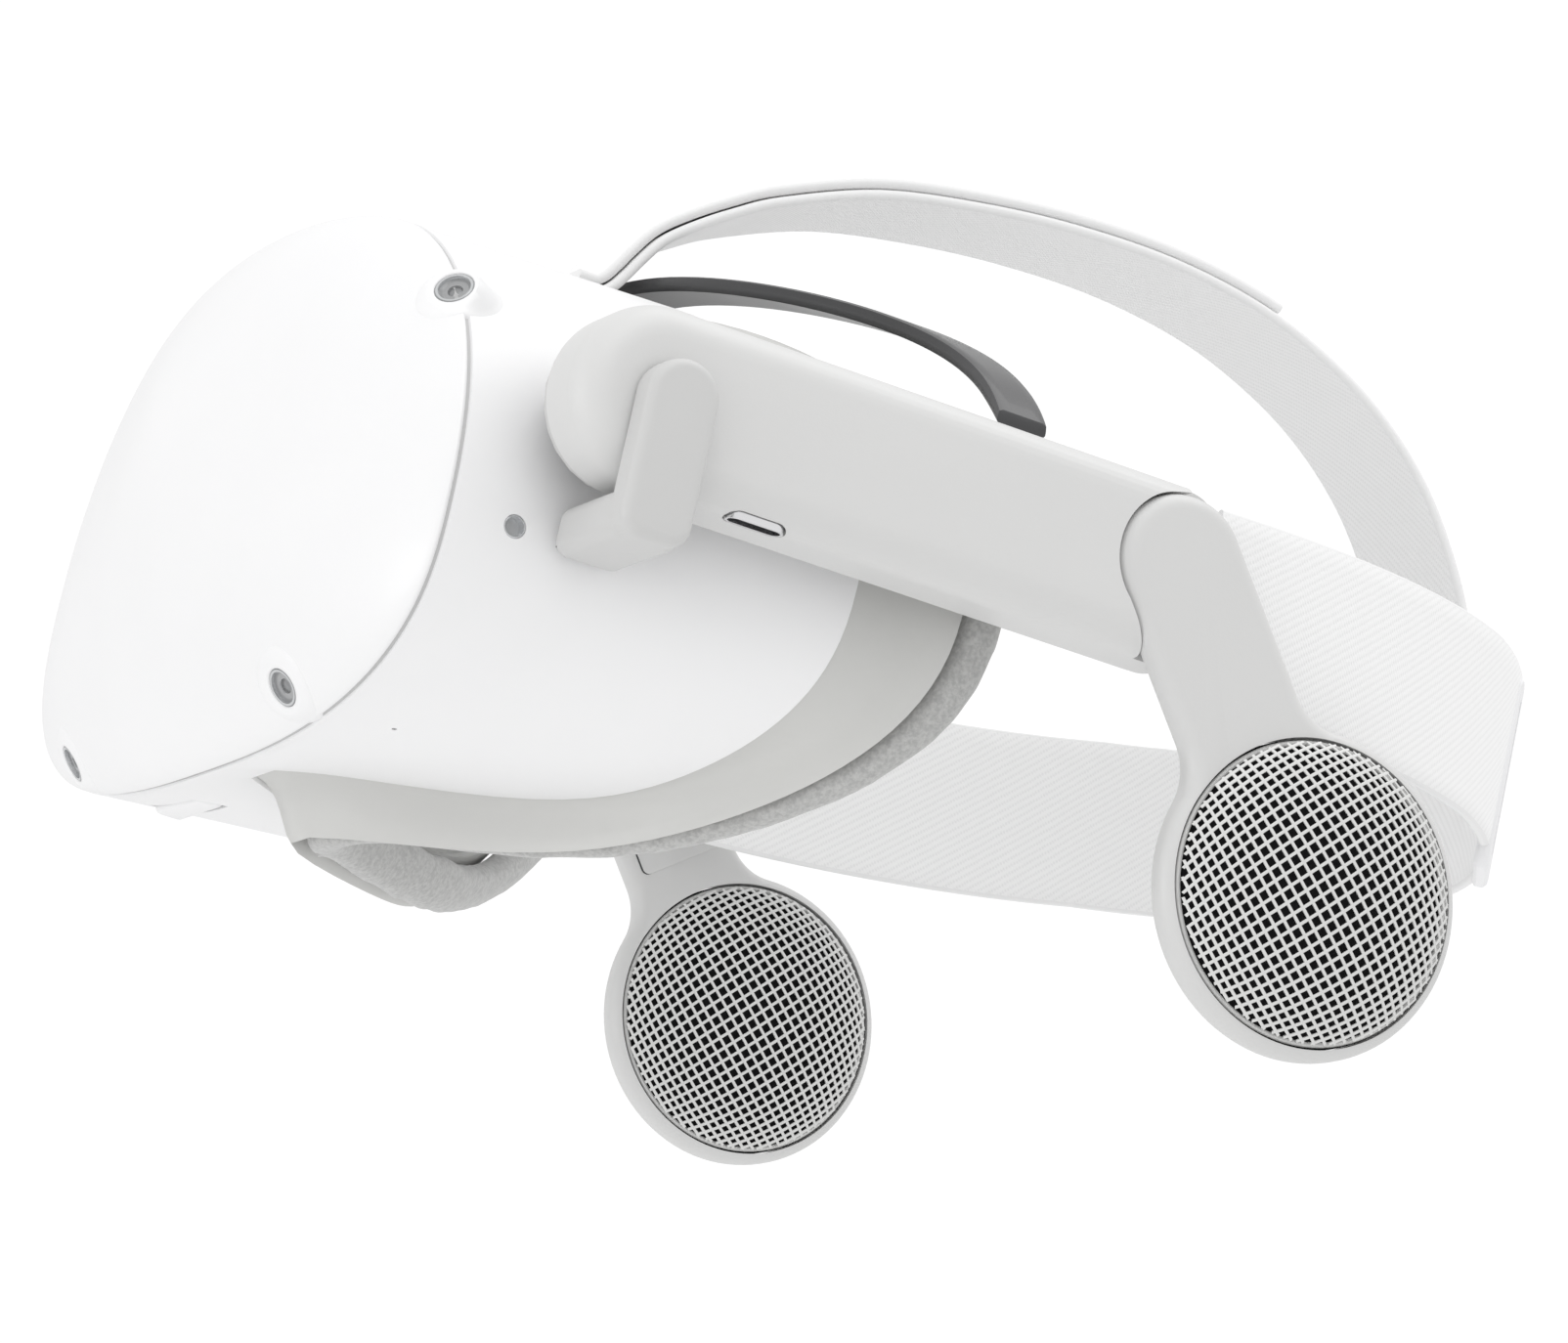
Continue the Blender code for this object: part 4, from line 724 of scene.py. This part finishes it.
# ---------------------------------------------------------------- arms
def add_arm(side, sign):
    liner_outer = ARM_INNER_X + LINER_THICK
    low, high = sign * (liner_outer + GAP), sign * ARM_OUTER_X
    obj = prism("arm_housing_" + side, arm_outline(), low, high, "arm", ARM_EDGE, 8)
    strap_arm_out = liner_outer + GAP + STRAP_ARM_THICK
    base = sign * (liner_outer - 1)
    low_wall, high_wall = TILT_Z - ARM_HALF_HEIGHT + ARM_WALL, TILT_Z + ARM_HALF_HEIGHT - ARM_WALL
    roof = FRAME_INNER_X - 0.5 - ARM_WALL
    recess = FRAME_INNER_X - 0.5
    tools = [
        prism("tool", arm_outline(ARM_WALL, 46.0), base, sign * (ARM_OUTER_X - ARM_WALL), "dark", 2.0, 4),
        prism("tool", arm_outline(ARM_WALL), base, sign * roof, "dark"),
        brick("tool", (min(base, sign * (strap_arm_out + GAP)), 45, low_wall),
              (max(base, sign * (strap_arm_out + GAP)), ARM_END_Y + 5, high_wall)),
    ]
    half = STEM_WIDTH / 2 + 0.15
    sweep = arc((PIVOT_Y, PIVOT_Z), half, 90, 270, 24)
    sweep += [(ARM_END_Y + 20, PIVOT_Z - half), (ARM_END_Y + 20, PIVOT_Z + half + 20),
            (PIVOT_Y, PIVOT_Z + half + 20)]
    tools.append(prism("tool", sweep, sign * recess, sign * (ARM_OUTER_X + 5), "dark"))
    tools.append(prism("tool", stem_outline(0.15), sign * recess, sign * (ARM_OUTER_X + 6), "dark"))
    for degrees in (35, 70):
        swung = Matrix.Rotation(math.radians(degrees), 2)
        pivot = Vector((PIVOT_Y, PIVOT_Z))
        outline = [tuple(pivot + swung @ (Vector(point) - pivot)) for point in stem_outline(0.3)]
        tools.append(prism("tool", outline, sign * recess, sign * (ARM_OUTER_X + 6), "dark"))
    tools.append(cylinder("tool", 3.4, (base, PIVOT_Y, PIVOT_Z), (sign * (recess + 1), PIVOT_Y, PIVOT_Z)))
    if side == "left":
        floor = TILT_Z - ARM_HALF_HEIGHT
        tools.append(slot_shape("tool", PORT_THICK / 2 + GAP, PORT_LONG / 2 + GAP, floor - 3, floor + 4,
                "dark"))
    boolean(obj, tools, angle=32.0)
    place(obj, "strap_frame", ["arm_cover_" + side], "audio_grey")


def slot_shape(name, half_x, half_y, low_z, high_z, material):
    """An upright bar with the stadium outline of the charging socket."""
    bm = bmesh.new()
    outline = []
    for centre, start in ((PORT_Y + half_y - half_x, 0), (PORT_Y - half_y + half_x, 180)):
        outline += [(PORT_X + half_x * math.cos(math.radians(start + 180 * i / 10)),
                centre + half_x * math.sin(math.radians(start + 180 * i / 10))) for i in range(11)]
    loft(bm, [[(x, y, z) for x, y in outline] for z in (low_z, high_z)], True, True)
    return make(name, bm, material)


def add_charging_socket():
    floor = TILT_Z - ARM_HALF_HEIGHT
    obj = slot_shape("charging_socket_shell", PORT_THICK / 2, PORT_LONG / 2, floor - 0.05, floor + 7.2,
            "metal")
    boolean(obj, [slot_shape("tool", PORT_THICK / 2 - 0.4, PORT_LONG / 2 - 0.4, floor - 2, floor + 6.2,
            "dark")])
    place(obj, "strap_frame", ["charging_socket"], "socket_metal")
    tongue = brick("charging_tongue", (PORT_X - 0.35, PORT_Y - 3.2, floor + 1.2),
            (PORT_X + 0.35, PORT_Y + 3.2, floor + 6.3), "dark", 0.12, 2)
    place(tongue, "strap_frame")


def add_plug():
    inner = ARM_OUTER_X + 0.5
    outer = inner + PLUG_BAR_THICK
    round_z = PLUG_BAR_TOP - PLUG_BAR_HALF
    corner = 3.4
    front, rear = PLUG_BAR_Y - PLUG_BAR_HALF, PLUG_BAR_Y + PLUG_BAR_HALF
    outline = arc((PLUG_BAR_Y, round_z), PLUG_BAR_HALF, 0, 180, 24)
    outline += arc((front + corner, PLUG_FOOT_BOTTOM + corner), corner, 180, 270, 10)
    outline += arc((rear - corner, PLUG_FOOT_BOTTOM + corner), corner, 270, 360, 10)
    bar = prism("plug_body", outline, inner, outer, "plug", 1.6, 6)
    wall_x = shell_half_width(PLUG_BAR_Y, PLUG_FOOT_TOP) + GAP + 0.7
    foot = brick("tool", (wall_x, front + 0.15, PLUG_FOOT_BOTTOM + 0.1),
            (inner + 2.4, rear - 0.15, PLUG_FOOT_TOP), "plug", 2.2, 6)
    boolean(bar, [foot], "UNION")
    place(bar, "visor", ["plug_housing"], "plug_grey")


def band_height(x):
    return BAND_CENTRE_Z + BAND_RISE * math.sqrt(max(1 - (x / BAND_HALF_WIDTH) ** 2, 0.0))


def add_band():
    foot = TILT_Z + ARM_HALF_HEIGHT + GAP + BAND_THICK
    reach = BAND_HALF_WIDTH * math.sqrt(1 - ((foot - BAND_CENTRE_Z) / BAND_RISE) ** 2)
    steps = 96
    rings = []
    for i in range(steps + 1):
        x = reach * math.sin(mix(-1, 1, i / steps) * math.pi / 2)
        z = band_height(x)
        slope = (band_height(x + 0.2) - band_height(x - 0.2)) / 0.4
        inward = Vector((slope, 0, -1.0)).normalized()
        near_foot = min(max((abs(x) - (reach - 6)) / 6, 0.0), 1.0)
        inward = inward.lerp(Vector((0, 0, -1)), near_foot).normalized() * BAND_THICK
        y = mix(BAND_MIDDLE_Y, BAND_END_Y, math.sin(math.pi / 2 * abs(x) / reach) ** 2)
        half = BAND_WIDTH / 2
        ring = []
        for across, depth in ((-half, 0.45), (-half + 0.12, 0.12), (-half + 0.7, 0.0),
                (-half * 0.5, -0.02), (0, -0.03),
                (half * 0.5, -0.02), (half - 0.7, 0.0), (half - 0.12, 0.12), (half, 0.45), (half, 0.7),
                (half - 0.5, 1.0), (-half + 0.5, 1.0), (-half, 0.7)):
            ring.append(Vector((x, y + across, z)) + inward * max(depth, 0.0))
        rings.append(ring)
    bm = bmesh.new()
    loft(bm, rings, True, True)
    place(make("bridge_strip", bm, "band", 50.0), "strap_frame", ["bridge_band"], "band_dark")


# ---------------------------------------------------------------- speakers
def dome_lift(radius, rise):
    return rise * math.sqrt(max(1 - (radius / (GRILLE_RADIUS + 0.4)) ** 2, 0.0))


def pressed(flat):
    """Where a point of the flat sheet of mesh ends up once the sheet is pressed to a dome."""
    far = max(flat.length, 1e-6)
    return flat * (MESH_SPHERE * math.sin(min(far / MESH_SPHERE, math.pi / 2)) / far)


def add_lattice(name, rim_x, rise, way):
    """Two crossing sets of wires over a dome, and the rim that holds them."""
    bm = bmesh.new()
    limit = GRILLE_RADIUS - 0.45
    edge = math.asin(limit / MESH_SPHERE) * MESH_SPHERE
    for family in (45.0, 135.0):
        along = Vector((math.cos(math.radians(family)), math.sin(math.radians(family))))
        across = Vector((-along.y, along.x))
        for k in range(-MESH_ROWS, MESH_ROWS + 1):
            offset = k * edge / (MESH_ROWS + 0.6)
            reach = math.sqrt(edge ** 2 - offset ** 2)
            steps = max(int(reach / 0.9), 5)
            rings = []
            for i in range(steps + 1):
                flat = pressed(along * mix(-reach, reach, i / steps) + across * offset)
                ahead = pressed(along * (mix(-reach, reach, i / steps) + 0.1) + across * offset)
                lift = dome_lift(flat.length, rise)
                slope = (dome_lift(flat.length + 0.1, rise) - dome_lift(flat.length - 0.1, rise)) / 0.2
                slope = max(slope, -2.2)
                radial = flat.normalized() if flat.length > 1e-6 else Vector((1, 0))
                normal = Vector((way, -slope * radial.x, -slope * radial.y)).normalized()
                run = Vector((0, ahead.x - flat.x, ahead.y - flat.y))
                run = (run - normal * run.dot(normal)).normalized()
                beside = normal.cross(run)
                middle = Vector((rim_x + way * lift, SPEAKER_Y + flat.x, SPEAKER_Z + flat.y))
                rings.append([middle + beside * (WIRE_HALF * math.cos(a))
                        + normal * (WIRE_HALF * 0.7 * math.sin(a))
                        for a in (math.pi * (2 * m + 1) / 6 for m in range(6))])
            loft(bm, rings, True, True)
    sides = 84
    rim_rings = []
    for i in range(sides):
        a = 2 * math.pi * i / sides
        out = Vector((0, math.cos(a), math.sin(a)))
        middle = Vector((rim_x + way * 0.25, SPEAKER_Y, SPEAKER_Z)) + out * (GRILLE_RADIUS - 0.42)
        rim_rings.append([middle + out * (0.42 * math.cos(b)) + Vector((way, 0, 0)) * (0.42 * math.sin(b))
                for b in (2 * math.pi * m / 8 for m in range(8))])
    ring_solid(bm, rim_rings)
    return make(name, bm, "lattice", 60.0)


def add_speaker(side, sign):
    body = side + "_speaker"
    ring = prism("speaker_ring_" + side, stem_outline(), sign * FRAME_INNER_X, sign * FRAME_OUTER_X,
            "ring", 2.5, 7, both=True)
    low, high = sign * (FRAME_INNER_X - 5), sign * (FRAME_OUTER_X + 5)
    hole = cylinder("tool", GRILLE_RADIUS + GAP, (low, SPEAKER_Y, SPEAKER_Z),
            (high, SPEAKER_Y, SPEAKER_Z), sides=120)
    bore = cylinder("tool", 3.5, (low, PIVOT_Y, PIVOT_Z),
            (sign * (FRAME_OUTER_X - 2.4), PIVOT_Y, PIVOT_Z), sides=40)
    boolean(ring, [hole, bore], angle=30.0)
    place(ring, body, ["speaker_frame_" + side], "audio_grey")
    outer = add_lattice("outer_lattice_" + side, sign * (FRAME_OUTER_X - 1.0), GRILLE_RISE_OUT, sign)
    place(outer, body, ["outer_grille_" + side], "grille_mesh")
    inner = add_lattice("inner_lattice_" + side, sign * (FRAME_INNER_X + 1.0), GRILLE_RISE_IN, -sign)
    place(inner, body, ["inner_grille_" + side], "grille_mesh")
    middle = (FRAME_INNER_X + FRAME_OUTER_X) / 2
    bm = bmesh.new()
    turned(bm, [(GRILLE_RADIUS + 0.2, -0.9), (GRILLE_RADIUS + 0.2, 0.9), (GRILLE_RADIUS - 1.5, 0.9),
                (16, 0.6), (9, 1.2), (2, 1.5)], (sign * middle, SPEAKER_Y, SPEAKER_Z), (sign, 0, 0), 72)
    place(make("driver_cone_" + side, bm, "black"), body, ["speaker_driver_" + side], "driver_black")
    # A near-black outline just proud of the stem's inner face round its cover: painted shade in the gap
    # round the cover.
    cover_gap_shade = prism("stem_cover_gap_shade_" + side, stem_cap(-2.0), sign * (FRAME_INNER_X + 0.5),
            sign * (FRAME_INNER_X - 0.06), "dark")
    place(cover_gap_shade, body)
    panel = prism("stem_cover_" + side, stem_cap(-2.25), sign * (FRAME_INNER_X + 0.5),
            sign * (FRAME_INNER_X - 0.22), "ring", 0.15, 2)
    place(panel, body)


def stem_cap(grow):
    """The cover on the stem's inner face: the stem's outline, stopped short of the ring."""
    along = Vector((SPEAKER_Y - PIVOT_Y, SPEAKER_Z - PIVOT_Z)).normalized()
    across = Vector((-along.y, along.x))
    heading = math.degrees(math.atan2(along.y, along.x))
    half = STEM_WIDTH / 2 + grow
    pivot = Vector((PIVOT_Y, PIVOT_Z))
    points = arc(pivot, half, heading + 90, heading + 270, 28)
    end = pivot + along * 21.5
    corner = 1.2
    low, high = end - across * (half - corner), end + across * (half - corner)
    points += arc(low, corner, heading - 90, heading, 5) + arc(high, corner, heading, heading + 90, 5)
    return points


# ---------------------------------------------------------------- straps
def webbing(name, frames, width, thickness, material, body=None, nodes=(), slot=None):
    """A woven strip: frames are (centre, across, out, distance along); its UVs are in millimetres."""
    bm = bmesh.new()
    layer = bm.loops.layers.uv.new("Weave")
    half, deep = width / 2, thickness / 2
    shape = []
    for i in range(13):
        share = i / 12 * 2 - 1
        shape.append((share * (half - 0.6), deep))
    shape += [(half - 0.18, deep * 0.72), (half, 0.0), (half - 0.18, -deep * 0.72)]
    for i in range(13):
        share = 1 - i / 12 * 2
        shape.append((share * (half - 0.6), -deep))
    shape += [(-half + 0.18, -deep * 0.72), (-half, 0.0), (-half + 0.18, deep * 0.72)]
    rows = []
    for centre, across, out, _ in frames:
        rows.append([bm.verts.new(Vector(centre) + Vector(across) * u + Vector(out) * w) for u, w in shape])
    count = len(shape)
    for k, (row, following) in enumerate(zip(rows, rows[1:])):
        for i in range(count):
            j = (i + 1) % count
            face = bm.faces.new((row[i], row[j], following[j], following[i]))
            v0, v1 = frames[k][3], frames[k + 1][3]
            face.material_index = int(min(abs(shape[i][0]), abs(shape[j][0])) > half - 0.7)
            for loop, uv in zip(face.loops, ((shape[i][0], v0), (shape[j][0], v0), (shape[j][0], v1),
                    (shape[i][0], v1))):
                loop[layer].uv = uv
    bm.faces.new(list(reversed(rows[0])))
    bm.faces.new(rows[-1])
    obj = make(name, bm, [material, "selvedge"], 55.0)
    if body:
        place(obj, body, nodes, slot)
    return obj


def side_frames(first, last, sign, steps):
    frames = []
    distance = 0.0
    previous = None
    for i in range(steps + 1):
        t = mix(first, last, i / steps)
        x, y = strap_path(t)
        ahead, behind = strap_path(min(t + 0.002, 1.0)), strap_path(max(t - 0.002, 0.0))
        along = Vector((sign * (ahead[0] - behind[0]), ahead[1] - behind[1], 0)).normalized()
        out = Vector((along.y, -along.x, 0)) * sign
        here = Vector((sign * x, y, strap_middle(t)))
        distance += (here - previous).length if previous is not None else 0.0
        previous = here
        frames.append((here, Vector((0, 0, 1)), out, distance))
    return frames


def add_side_strap(side, sign):
    webbing("side_webbing_" + side, side_frames(STRAP_FIRST, SLIDER_START + 0.035, sign, 60),
            STRAP_HEIGHT, STRAP_THICK, "webbing",
            "strap_frame", ["side_strap_" + side], "webbing_white")
    frames = side_frames(SLIDER_START + 0.002, SLIDER_END, sign, 24)
    rings = []
    middle = strap_middle(1.0) + SLIDER_LIFT
    half = SLIDER_HEIGHT / 2
    deep = SLIDER_THICK / 2
    total = len(frames) - 1
    for k, (centre, across, out, distance) in enumerate(frames):
        edge = min(k, total - k)
        corner = {0: 2.6, 1: 1.2, 2: 0.55, 3: 0.2}.get(edge, 0.0)
        thin = {0: 0.55, 1: 0.85}.get(edge, 1.0)
        tall = half - corner
        base = Vector((centre.x, centre.y, middle))
        ring = []
        for u, w in ((-tall, -0.5), (-tall, 0.5), (-tall + 0.6, 1.0), (tall - 0.6, 1.0), (tall, 0.5),
                (tall, -0.5), (tall - 0.6, -1.0), (-tall + 0.6, -1.0)):
            ring.append(base + Vector((0, 0, u)) + out * (w * deep * thin))
        rings.append(ring)
    bm = bmesh.new()
    loft(bm, rings, True, True)
    slider = make("slider_" + side, bm, "trim", 40.0)
    tools = []
    for share in (0.3, 0.72):
        x, y = strap_path(mix(SLIDER_START, SLIDER_END, share))
        ahead, behind = strap_path(mix(SLIDER_START, SLIDER_END,
                share + 0.02)), strap_path(mix(SLIDER_START, SLIDER_END, share - 0.02))
        turn = math.atan2(ahead[1] - behind[1], sign * (ahead[0] - behind[0]))
        tool = brick("tool", (-1.15, -4, middle - half + 3.2), (1.15, 4, middle + half - 3.2), "dark",
                0.5, 3)
        tool.rotation_euler.z = turn
        tool.location = Vector((sign * x, y, 0)) * MM
        tools.append(tool)
    bpy.context.view_layer.update()
    boolean(slider, tools)
    place(slider, "strap_frame", ["strap_slider_" + side], "trim_white")


def add_rear_strap():
    left = side_frames(SLIDER_END - 0.035, 1.0, 1, 30)
    right = side_frames(SLIDER_END - 0.035, 1.0, -1, 30)
    frames = left[:-1]
    total = left[-1][3]
    for centre, across, out, distance in reversed(right):
        frames.append((centre, across, out, 2 * total - distance))
    webbing("rear_webbing", frames, STRAP_HEIGHT, STRAP_THICK, "webbing", "strap_frame", ["rear_strap"],
            "webbing_white")


TOP_LINE = [(-24.4, 42.6), (-23.9, 45.2), (-21.6, 46.75), (-18.0, 46.75), (-15.0, 46.9), (-12.9, 48.4),
        (-11.0, 51.1),
        (-9.3, 53.9), (-6.4, 58.0), (-2.0, 61.8), (4.0, 66.0), (11.5, 70.4), (27.0, 76.8),
        (44.0, 80.4), (61.0, 82.4),
        (79.0, 82.7), (96.0, 80.4), (110.0, 75.6), (121.0, 69.4), (130.5, 61.0), (138.0, 50.5),
        (142.6, 41.0), (145.2, 30.0)]


def smooth_points(points, per_span=6):
    out = []
    for i in range(len(points) - 1):
        p0, p1, p2, p3 = (points[max(i - 1, 0)], points[i], points[i + 1],
                points[min(i + 2, len(points) - 1)])
        for k in range(per_span):
            t = k / per_span
            out.append(tuple(0.5 * (2 * b + (c - a) * t + (2 * a - 5 * b + 4 * c - d) * t * t
                    + (3 * b - a - 3 * c + d) * t ** 3) for a, b, c, d in zip(p0, p1, p2, p3)))
    out.append(tuple(points[-1]))
    return out


def line_frames(points, lift=0.0):
    frames = []
    distance = 0.0
    for i, (y, z) in enumerate(points):
        before, after = points[max(i - 1, 0)], points[min(i + 1, len(points) - 1)]
        along = Vector((0, after[0] - before[0], after[1] - before[1])).normalized()
        up = Vector((0, -along.z, along.y))
        if i:
            distance += (Vector(points[i]) - Vector(points[i - 1])).length
        frames.append((Vector((0, y, z)) + up * lift, Vector((1, 0, 0)), up, distance))
    return frames


def add_top_strap():
    line = smooth_points(TOP_LINE)
    strap = webbing("top_webbing", line_frames(line), TOP_STRAP_WIDTH, STRAP_THICK, "webbing")
    overlay = [point for point in line if -19.0 < point[0] < 101.0]
    tab = webbing("top_webbing_fold", line_frames(overlay, STRAP_THICK + GAP), TOP_STRAP_WIDTH - 0.8,
            STRAP_THICK, "fold")
    for obj, node in ((strap, "top_strap"), (tab, "top_strap_tab")):
        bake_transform(obj)
        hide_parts(node)


# ---------------------------------------------------------------- carried-over CAD nodes
NODE_MATERIALS = {
    "inner_frame": "dark", "cooling_fan": "dark", "proximity_sensor": "dark", "display_panel": "panel",
    "mainboard": "board",
    "audio_board": "board", "heat_sink": "aluminium", "battery": "foil", "lens_rail": "steel",
    "speaker_pin_left": "steel",
    "speaker_pin_right": "steel", "lens_barrel_left": "dark", "lens_barrel_right": "dark",
    "lens_left": "lens", "lens_right": "lens",
    "power_button": "trim", "volume_rocker": "rear_white", "arm_liner_left": "liner",
    "arm_liner_right": "liner",
    "strap_arm_left": "trim", "strap_arm_right": "trim", "pivot_spigot_left": "dark",
    "pivot_spigot_right": "dark",
    "usb_plug": "metal",
}


def dress_cad_nodes():
    for name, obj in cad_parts.items():
        key = NODE_MATERIALS.get(name)
        if key:
            obj.data.materials.clear()
            obj.data.materials.append(MATERIALS[key])


# ---------------------------------------------------------------- stage
def add_stage():
    bm = bmesh.new()
    bmesh.ops.create_grid(bm, x_segments=1, y_segments=1, size=3000.0)
    floor = make("floor", bm, "white")
    floor.location.z = FLOOR_Z
    mat, nodes, links, shader = new_material("pale_floor")
    shader.inputs["Base Color"].default_value = (0.93, 0.93, 0.93, 1.0)
    shader.inputs["Roughness"].default_value = 0.9
    floor.data.materials.clear()
    floor.data.materials.append(mat)
    world = bpy.data.worlds.new("white_room")
    bpy.context.scene.world = world
    world.use_nodes = True
    nodes, links = world.node_tree.nodes, world.node_tree.links
    background = nodes["Background"]
    background.inputs["Color"].default_value = (1.0, 1.0, 1.0, 1.0)
    background.inputs["Strength"].default_value = 0.88
    seen = nodes.new("ShaderNodeBackground")
    seen.inputs["Color"].default_value = (1.0, 1.0, 1.0, 1.0)
    seen.inputs["Strength"].default_value = 1.05
    path = nodes.new("ShaderNodeLightPath")
    blend = nodes.new("ShaderNodeMixShader")
    links.new(path.outputs["Is Camera Ray"], blend.inputs["Fac"])
    links.new(background.outputs[0], blend.inputs[1])
    links.new(seen.outputs[0], blend.inputs[2])
    links.new(blend.outputs[0], nodes["World Output"].inputs["Surface"])
    for name, spot, aim, size, watts in (("key", (0.9, -0.5, 1.2), (0.05, 0.0, 0.0), 0.9, 3.5),
            ("front", (0.1, -1.4, -0.3), (0.0, 0.0, 0.0), 0.9, 4.0),
            ("top", (0.1, 0.3, 1.3), (0.0, 0.0, 0.0), 1.0, 4.5)):
        data = bpy.data.lights.new(name, "AREA")
        data.size = size
        data.energy = watts
        lamp = bpy.data.objects.new(name, data)
        bpy.context.scene.collection.objects.link(lamp)
        lamp.location = spot
        lamp.rotation_euler = (Vector(aim) - Vector(spot)).to_track_quat("-Z", "Y").to_euler()
    bpy.context.scene.view_settings.view_transform = "Standard"


def add_camera():
    data = bpy.data.cameras.new("camera")
    data.lens, data.sensor_width = 167.94, 36.0
    data.clip_start, data.clip_end = 0.05, 20.0
    camera = bpy.data.objects.new("camera", data)
    bpy.context.scene.collection.objects.link(camera)
    right = Vector((0.43302604, 0.87756797, 0.20582252))
    up = Vector((0.13659004, -0.289589, 0.94735494))
    back = Vector((0.89097228, -0.38211605, -0.24526662))
    turn = Matrix((right, up, back)).transposed().to_4x4()
    camera.matrix_world = Matrix.Translation((1.006834, -0.398038, -0.274460)) @ turn
    bpy.context.scene.camera = camera


add_camera()
add_stage()
add_faceplate()
add_rear_shell()
add_seam()
add_cameras()
add_audio_socket()
add_rocker()
add_shroud()
add_foam()
for side, sign in (("left", 1), ("right", -1)):
    add_arm(side, sign)
    add_speaker(side, sign)
    add_side_strap(side, sign)
add_charging_socket()
add_plug()
add_band()
add_rear_strap()
add_top_strap()
dress_cad_nodes()
